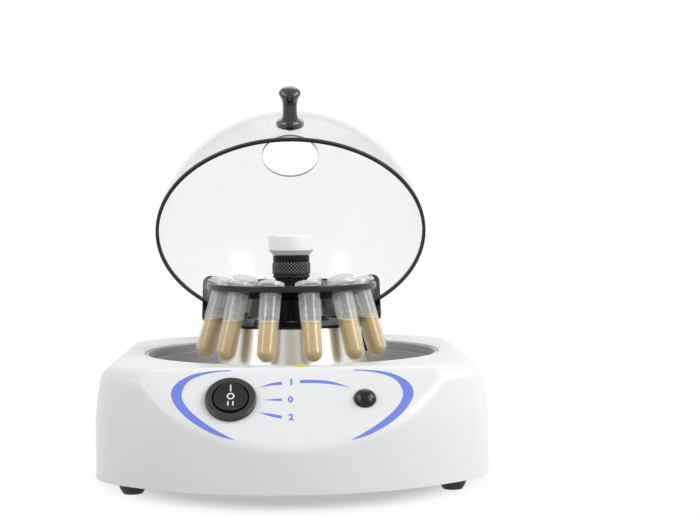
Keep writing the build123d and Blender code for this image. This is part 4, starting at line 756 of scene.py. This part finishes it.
@dataclass
class SampleTubes(SubAssembly):
    """The ring of sample tubes with their liquid and caps, in the rotor's slanted holes."""

    body: str = "rotor_assembly"
    count: int = 12
    first_angle: float = -76.5
    circle: float = 35.9
    seat: float = 93.53
    lean: float = 17.0
    radius: float = 5.4
    tip_radius: float = 5.1
    tip: float = -36.6
    lip_radius: float = 6.0
    lip: tuple[float, float] = (0.2, 1.8)
    wall: float = 0.62
    bead: float = -2.3
    marks: tuple[float, ...] = (-12.0, -17.0, -22.0, -27.0)
    tip_rounding: float = 5.0
    inner_rounding: float = 4.75
    pool_rounding: float = 4.7
    pool_gap: float = 0.03
    tick: Triple = (0.12, 2.0, 0.22)
    tick_turn: float = 72.0
    bead_depth: float = 0.15
    bead_height: float = 0.22
    bead_half_width: float = 0.3

    def place(self, index: int) -> Matrix:
        """Frame of one tube: its axis, with the rotor's surface at height 0."""
        turn = Matrix.Rotation(math.radians(self.first_angle + index * 360.0 / self.count), 4, "Z")
        out = Matrix.Translation((self.circle * MM, 0.0, self.seat * MM))
        return turn @ out @ Matrix.Rotation(math.radians(-self.lean), 4, "Y")

    def build(self, nodes: dict[str, bpy.types.Object]) -> None:
        """Build the tubes and their liquid, and dress the caps."""
        pools = []
        marks = []
        for index in range(self.count):
            place = self.place(index)
            name = f"tube_{index + 1:02d}"
            wall = self.turned(self._wall_profile(), {1: self.tip_rounding, 6: self.inner_rounding}, place)
            mesh = self.to_mesh(wall, name)
            self.piece(mesh, f"{name}_clear", TUBE_FROST, "tube_clear", (name,))
            pools.append(self._pool(place))
            marks.extend(self._marks(place))
        self.piece(self.to_mesh(self.joined(pools), "pools"), "sample_pools", SAMPLE, "sample_liquid", ("samples",))
        self.piece(self.to_mesh(self.joined(marks), "marks"), "tube_marks", MARK_FROST, "tube_clear")
        CadDress().cover(nodes["tube_caps"], CAP_FROST)

    def _wall_profile(self) -> list[tuple[float, float]]:
        """Closed section of a tube's wall, from the outside of the tip to its inside."""
        bottom, top = self.lip
        return [
            (0.0, self.tip),
            (self.tip_radius, self.tip),
            (self.radius, bottom),
            (self.lip_radius, bottom),
            (self.lip_radius, top),
            (self.radius - self.wall, top),
            (self.tip_radius - self.wall, self.tip + self.wall),
            (0.0, self.tip + self.wall),
        ]

    def _pool(self, place: Matrix) -> bmesh.types.BMesh:
        """The liquid of one tube, cut off level."""
        gap = self.wall + self.pool_gap
        bottom, top = self.tip + gap, self.lip[1]
        profile = [(0.0, bottom), (self.tip_radius - gap, bottom), (self.radius - gap, top), (0.0, top)]
        pool = self.turned(profile, {1: self.pool_rounding}, place)
        bmesh.ops.remove_doubles(pool, verts=pool.verts, dist=WELD)
        geom = pool.verts[:] + pool.edges[:] + pool.faces[:]
        level = (0.0, 0.0, LEVEL)
        cut = bmesh.ops.bisect_plane(pool, geom=geom, plane_co=level, plane_no=(0, 0, 1), clear_outer=True)
        rim = [item for item in cut["geom_cut"] if isinstance(item, bmesh.types.BMEdge)]
        bmesh.ops.contextual_create(pool, geom=rim)
        return pool

    def _marks(self, place: Matrix) -> list[bmesh.types.BMesh]:
        """Short moulded ticks down the outside of one tube, and the bead below the rotor."""
        made = []
        for height in self.marks:
            radius = self.tip_radius + (self.radius - self.tip_radius) * (height - self.tip) / -self.tip
            turn = Matrix.Rotation(math.radians(self.tick_turn), 4, "Z")
            made.append(self.block(self.tick, place @ turn @ Matrix.Translation((radius * MM, 0, height * MM))))
        inner, outer = self.radius - self.bead_depth, self.radius + self.bead_height
        low, high = self.bead - self.bead_half_width, self.bead + self.bead_half_width
        section = [(inner, low), (outer, low), (outer, high), (inner, high)]
        made.append(self.turned(section, {1: self.bead_depth, 2: self.bead_depth}, place))
        return made


@dataclass
class LidTrim(SubAssembly):
    """The dome's slim black rim seal, and the cut edge of its hole finished grey as painted shade for how the clear
    edge looks dark from the side.
    """

    body: str = "lid"
    radius: float = 15.8
    proud: float = 0.06
    height: float = 119.5
    hinge: tuple[float, float] = (92.0, 51.0)
    opening: float = 44.0
    rim: tuple[float, float] = (70.49, 72.0)
    rim_height: float = 57.3
    lip: float = 0.14
    seat: float = 0.03
    below: float = 0.8
    lap: float = 0.5
    play: float = 0.02
    beside: float = 0.5
    reach: float = 3.0
    inward: float = 0.7
    steps: int = 128

    def build(self, nodes: dict[str, bpy.types.Object]) -> None:
        """Build both pieces."""
        self._hole_edge(nodes)
        self._seal()

    def _seal(self) -> None:
        """A channel that the dome's rim sits in."""
        inner, outer = self.rim
        floor, low, top = self.rim_height - self.seat, self.rim_height - self.below, self.rim_height + self.lap
        profile = [
            (inner - self.lip, low), (outer + self.lip, low), (outer + self.lip, top), (outer + self.play, top),
            (outer + self.play, floor), (inner - self.play, floor), (inner - self.play, top),
            (inner - self.lip, top), (inner - self.lip, low),
        ]
        shape = self.turned(profile, {}, self._shown(), self.steps)
        self.piece(self.to_mesh(shape, "lid_rim_seal"), "lid_rim_seal", SEAL_BLACK, "seal_black", ("lid_seal",))

    def _hole_edge(self, nodes: dict[str, bpy.types.Object]) -> None:
        """Take the hole's wall off the dome, lift it a little and finish it grey as painted shade."""
        shape = bmesh.new()
        shape.from_mesh(nodes["lid_dome"].data)
        bmesh.ops.remove_doubles(shape, verts=shape.verts, dist=WELD)
        centre, axis = self._axis()
        far = []
        for face in shape.faces:
            arm = face.calc_center_median() - centre
            across = arm - axis * arm.dot(axis)
            near = across.length < (self.radius + self.beside) * MM and arm.length < self.reach * self.radius * MM
            if not near or face.normal.dot(across.normalized()) > -self.inward:
                far.append(face)
        bmesh.ops.delete(shape, geom=far, context="FACES")
        for vert in shape.verts:
            arm = vert.co - centre
            across = arm - axis * arm.dot(axis)
            vert.co -= across.normalized() * self.proud * MM
        mesh = bpy.data.meshes.new("lid_hole_edge")
        shape.to_mesh(mesh)
        shape.free()
        mesh.shade_smooth()
        self.piece(mesh, "lid_hole_edge", HOLE_EDGE_SHADE, "lid_clear")

    def _shown(self) -> Matrix:
        """Turn from the shut lid to the shown opening."""
        hinge = Matrix.Translation(Vector((0.0, *self.hinge)) * MM)
        return hinge @ Matrix.Rotation(math.radians(-self.opening), 4, "X") @ hinge.inverted()

    def _axis(self) -> tuple[Vector, Vector]:
        """Centre of the hole and the dome's axis at the shown opening."""
        shown = self._shown()
        return shown @ Vector((0.0, 0.0, self.height * MM)), shown.to_3x3() @ Vector((0.0, 0.0, 1.0))


@dataclass
class SpindleNuts(SubAssembly):
    """The knurled lock ring under the cup and the flared knurled collar that it sits on."""

    body: str = "rotor_assembly"
    bore: float = 3.1
    radius: float = 9.85
    foot: float = 91.0
    bottom: float = 100.0
    top: float = 106.9
    chamfer: float = 0.9
    collar_foot_radius: float = 5.6
    collar_top_radius: float = 8.6
    lip_drop: float = 0.9
    lip_rise: float = 0.8
    lip_inset: float = 0.15
    lip_height: float = 0.5
    steps: int = 96

    def build(self) -> None:
        """Turn the ring and the collar and give them their crossed knurl."""
        ring = [
            (self.bore, self.bottom),
            (self.radius - self.chamfer, self.bottom),
            (self.radius, self.bottom + self.chamfer),
            (self.radius, self.top - self.chamfer),
            (self.radius - self.chamfer, self.top),
            (self.bore, self.top),
            (self.bore, self.bottom),
        ]
        lip = self.bottom - self.lip_drop
        collar = [
            (self.bore, self.foot),
            (self.collar_foot_radius, self.foot),
            (self.collar_top_radius, lip - self.lip_rise),
            (self.radius - self.lip_inset, lip),
            (self.radius - self.lip_inset, lip + self.lip_height),
            (self.radius - self.chamfer, self.bottom),
            (self.bore, self.bottom),
            (self.bore, self.foot),
        ]
        for name, profile, finish, node in (
            ("lock_ring_knurled", ring, RING_BLACK, "lock_ring"),
            ("collar_knurled", collar, COLLAR_BLACK, "collar"),
        ):
            mesh = self.to_mesh(self.turned(profile, {}, Matrix.Identity(4), self.steps), name)
            self.piece(mesh, name, finish, finish.name, (node,))


@dataclass
class Studio:
    """Floor, light and camera."""

    eye: Vector = field(default_factory=lambda: Vector((-0.0004, -0.8047, 0.1345)))
    yaw: float = 2.19
    pitch: float = 1.88
    roll: float = -0.47
    focal: float = 1557.2
    frame_width: float = 700.0
    ambient: float = 0.32
    # Glow share of the floor round the body's footprint; the rest there is grey diffuse, with its real shadow and
    # painted shade.
    near_white: float = 0.48
    body_reach: tuple[float, float] = (0.094, 0.1175)
    shade_span: tuple[float, float] = (0.8, 1.15)
    floor_size: float = 6.0
    floor_drop: float = 0.0002
    floor_grey: float = 0.6
    aim: Triple = (0.0, 0.0, 0.07)
    lamps: tuple[tuple[str, Triple, tuple[float, float], float], ...] = (
        ("key", (1.1, -0.15, 0.9), (0.7, 0.7), 7.6),
        ("fill", (-1.0, -0.2, 0.9), (0.7, 0.7), 4.0),
        ("back", (0.1, 1.0, 1.3), (0.9, 0.9), 3.0),
        ("box_right", (0.75, -0.65, 0.53), (0.42, 0.7), 4.0),
        ("box_left", (-0.75, -0.65, 0.53), (0.32, 0.7), 2.1),
    )

    def build(self) -> None:
        """Build the whole studio."""
        self._camera()
        self._world()
        self._floor()
        for name, place, size, power in self.lamps:
            self._lamp(name, Vector(place), size, power)
        LOG.info("studio built")

    def _camera(self) -> None:
        """Camera at the photograph's viewing angle."""
        data = bpy.data.cameras.new("camera")
        data.sensor_width = 36.0
        data.sensor_fit = "HORIZONTAL"
        data.lens = 36.0 * self.focal / self.frame_width
        data.clip_start = 0.05
        data.clip_end = 50.0
        camera = bpy.data.objects.new("camera", data)
        turn = (
            Matrix.Rotation(-math.radians(self.yaw), 4, "Z")
            @ Matrix.Rotation(math.radians(90.0 - self.pitch), 4, "X")
            @ Matrix.Rotation(math.radians(self.roll), 4, "Z")
        )
        camera.matrix_world = Matrix.Translation(self.eye) @ turn
        bpy.context.scene.collection.objects.link(camera)
        bpy.context.scene.camera = camera

    def _seen(self, tree: bpy.types.NodeTree) -> bpy.types.NodeSocket:
        """Value of 1 for rays that show the background: camera, transmission and glossy."""
        path = tree.nodes.new("ShaderNodeLightPath")
        seen = path.outputs["Is Camera Ray"]
        for kind in ("Is Transmission Ray", "Is Glossy Ray"):
            either = tree.nodes.new("ShaderNodeMath")
            either.operation = "MAXIMUM"
            tree.links.new(seen, either.inputs[0])
            tree.links.new(path.outputs[kind], either.inputs[1])
            seen = either.outputs[0]
        return seen

    def _world(self) -> None:
        """White world that lights the object at a plain level."""
        world = bpy.data.worlds.new("world")
        bpy.context.scene.world = world
        world.use_nodes = True
        tree = world.node_tree
        tree.nodes.clear()
        light = tree.nodes.new("ShaderNodeBackground")
        light.inputs["Color"].default_value = (1.0, 1.0, 1.0, 1.0)
        light.inputs["Strength"].default_value = self.ambient
        shown = tree.nodes.new("ShaderNodeBackground")
        shown.inputs["Color"].default_value = (1.0, 1.0, 1.0, 1.0)
        shown.inputs["Strength"].default_value = 1.0
        mix = tree.nodes.new("ShaderNodeMixShader")
        tree.links.new(self._seen(tree), mix.inputs[0])
        tree.links.new(light.outputs[0], mix.inputs[1])
        tree.links.new(shown.outputs[0], mix.inputs[2])
        output = tree.nodes.new("ShaderNodeOutputWorld")
        tree.links.new(mix.outputs[0], output.inputs["Surface"])

    def _floor(self) -> None:
        """Pale floor that keeps the object's shadow: white glow away from the body, and round its footprint a share
        of plain grey diffuse that takes the real shadow and also darkens the floor there as painted shade.
        """
        shape = bmesh.new()
        bmesh.ops.create_grid(shape, x_segments=1, y_segments=1, size=self.floor_size)
        bmesh.ops.translate(shape, vec=(0.0, 0.0, -self.floor_drop), verts=shape.verts)
        mesh = bpy.data.meshes.new("floor")
        shape.to_mesh(mesh)
        shape.free()
        floor = bpy.data.objects.new("floor", mesh)
        bpy.context.scene.collection.objects.link(floor)
        material = bpy.data.materials.new("floor_white")
        material.use_nodes = True
        tree = material.node_tree
        tree.nodes.clear()
        plain = tree.nodes.new("ShaderNodeBsdfDiffuse")
        plain.inputs["Color"].default_value = (self.floor_grey, self.floor_grey, self.floor_grey, 1.0)
        glow = tree.nodes.new("ShaderNodeEmission")
        glow.inputs["Color"].default_value = (1.0, 1.0, 1.0, 1.0)
        glow.inputs["Strength"].default_value = 1.0
        share = tree.nodes.new("ShaderNodeMath")
        share.operation = "MULTIPLY"
        tree.links.new(self._seen(tree), share.inputs[0])
        point = tree.nodes.new("ShaderNodeTexCoord")
        reach = tree.nodes.new("ShaderNodeMapping")
        reach.inputs["Scale"].default_value = (1.0 / self.body_reach[0], 1.0 / self.body_reach[1], 1.0)
        tree.links.new(point.outputs["Object"], reach.inputs["Vector"])
        away = tree.nodes.new("ShaderNodeVectorMath")
        away.operation = "LENGTH"
        tree.links.new(reach.outputs["Vector"], away.inputs[0])
        # Towards the body's footprint the glow share falls to near_white, letting in grey diffuse with its real
        # shadow and painted shade.
        spread = tree.nodes.new("ShaderNodeMapRange")
        spread.interpolation_type = "SMOOTHSTEP"
        spread.inputs["From Min"].default_value, spread.inputs["From Max"].default_value = self.shade_span
        spread.inputs["To Min"].default_value = self.near_white
        spread.inputs["To Max"].default_value = 1.0
        tree.links.new(away.outputs["Value"], spread.inputs["Value"])
        tree.links.new(spread.outputs["Result"], share.inputs[1])
        mix = tree.nodes.new("ShaderNodeMixShader")
        tree.links.new(share.outputs[0], mix.inputs[0])
        tree.links.new(plain.outputs[0], mix.inputs[1])
        tree.links.new(glow.outputs[0], mix.inputs[2])
        output = tree.nodes.new("ShaderNodeOutputMaterial")
        tree.links.new(mix.outputs[0], output.inputs["Surface"])
        mesh.materials.append(material)

    def _lamp(self, name: str, place: Vector, size: tuple[float, float], power: float) -> None:
        """Area lamp aimed at the middle of the object."""
        data = bpy.data.lights.new(name, "AREA")
        data.shape = "RECTANGLE"
        data.size, data.size_y = size
        data.energy = power
        lamp = bpy.data.objects.new(name, data)
        aim = Vector(self.aim) - place
        lamp.matrix_world = Matrix.Translation(place) @ aim.to_track_quat("-Z", "Y").to_matrix().to_4x4()
        bpy.context.scene.collection.objects.link(lamp)


def main() -> None:
    """Dress the frame and add the studio."""
    scene = bpy.context.scene
    scene.view_settings.view_transform = "Standard"
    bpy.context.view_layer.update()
    CadDress().dress(frame["nodes"])
    SampleTubes().build(frame["nodes"])
    LidTrim().build(frame["nodes"])
    SpindleNuts().build()
    PanelPrints().build()
    LipDot().build()
    RockerMarks().build()
    Studio().build()


if __name__ == "__main__":
    logging.basicConfig(level=logging.INFO, format="%(name)s %(message)s")
    main()
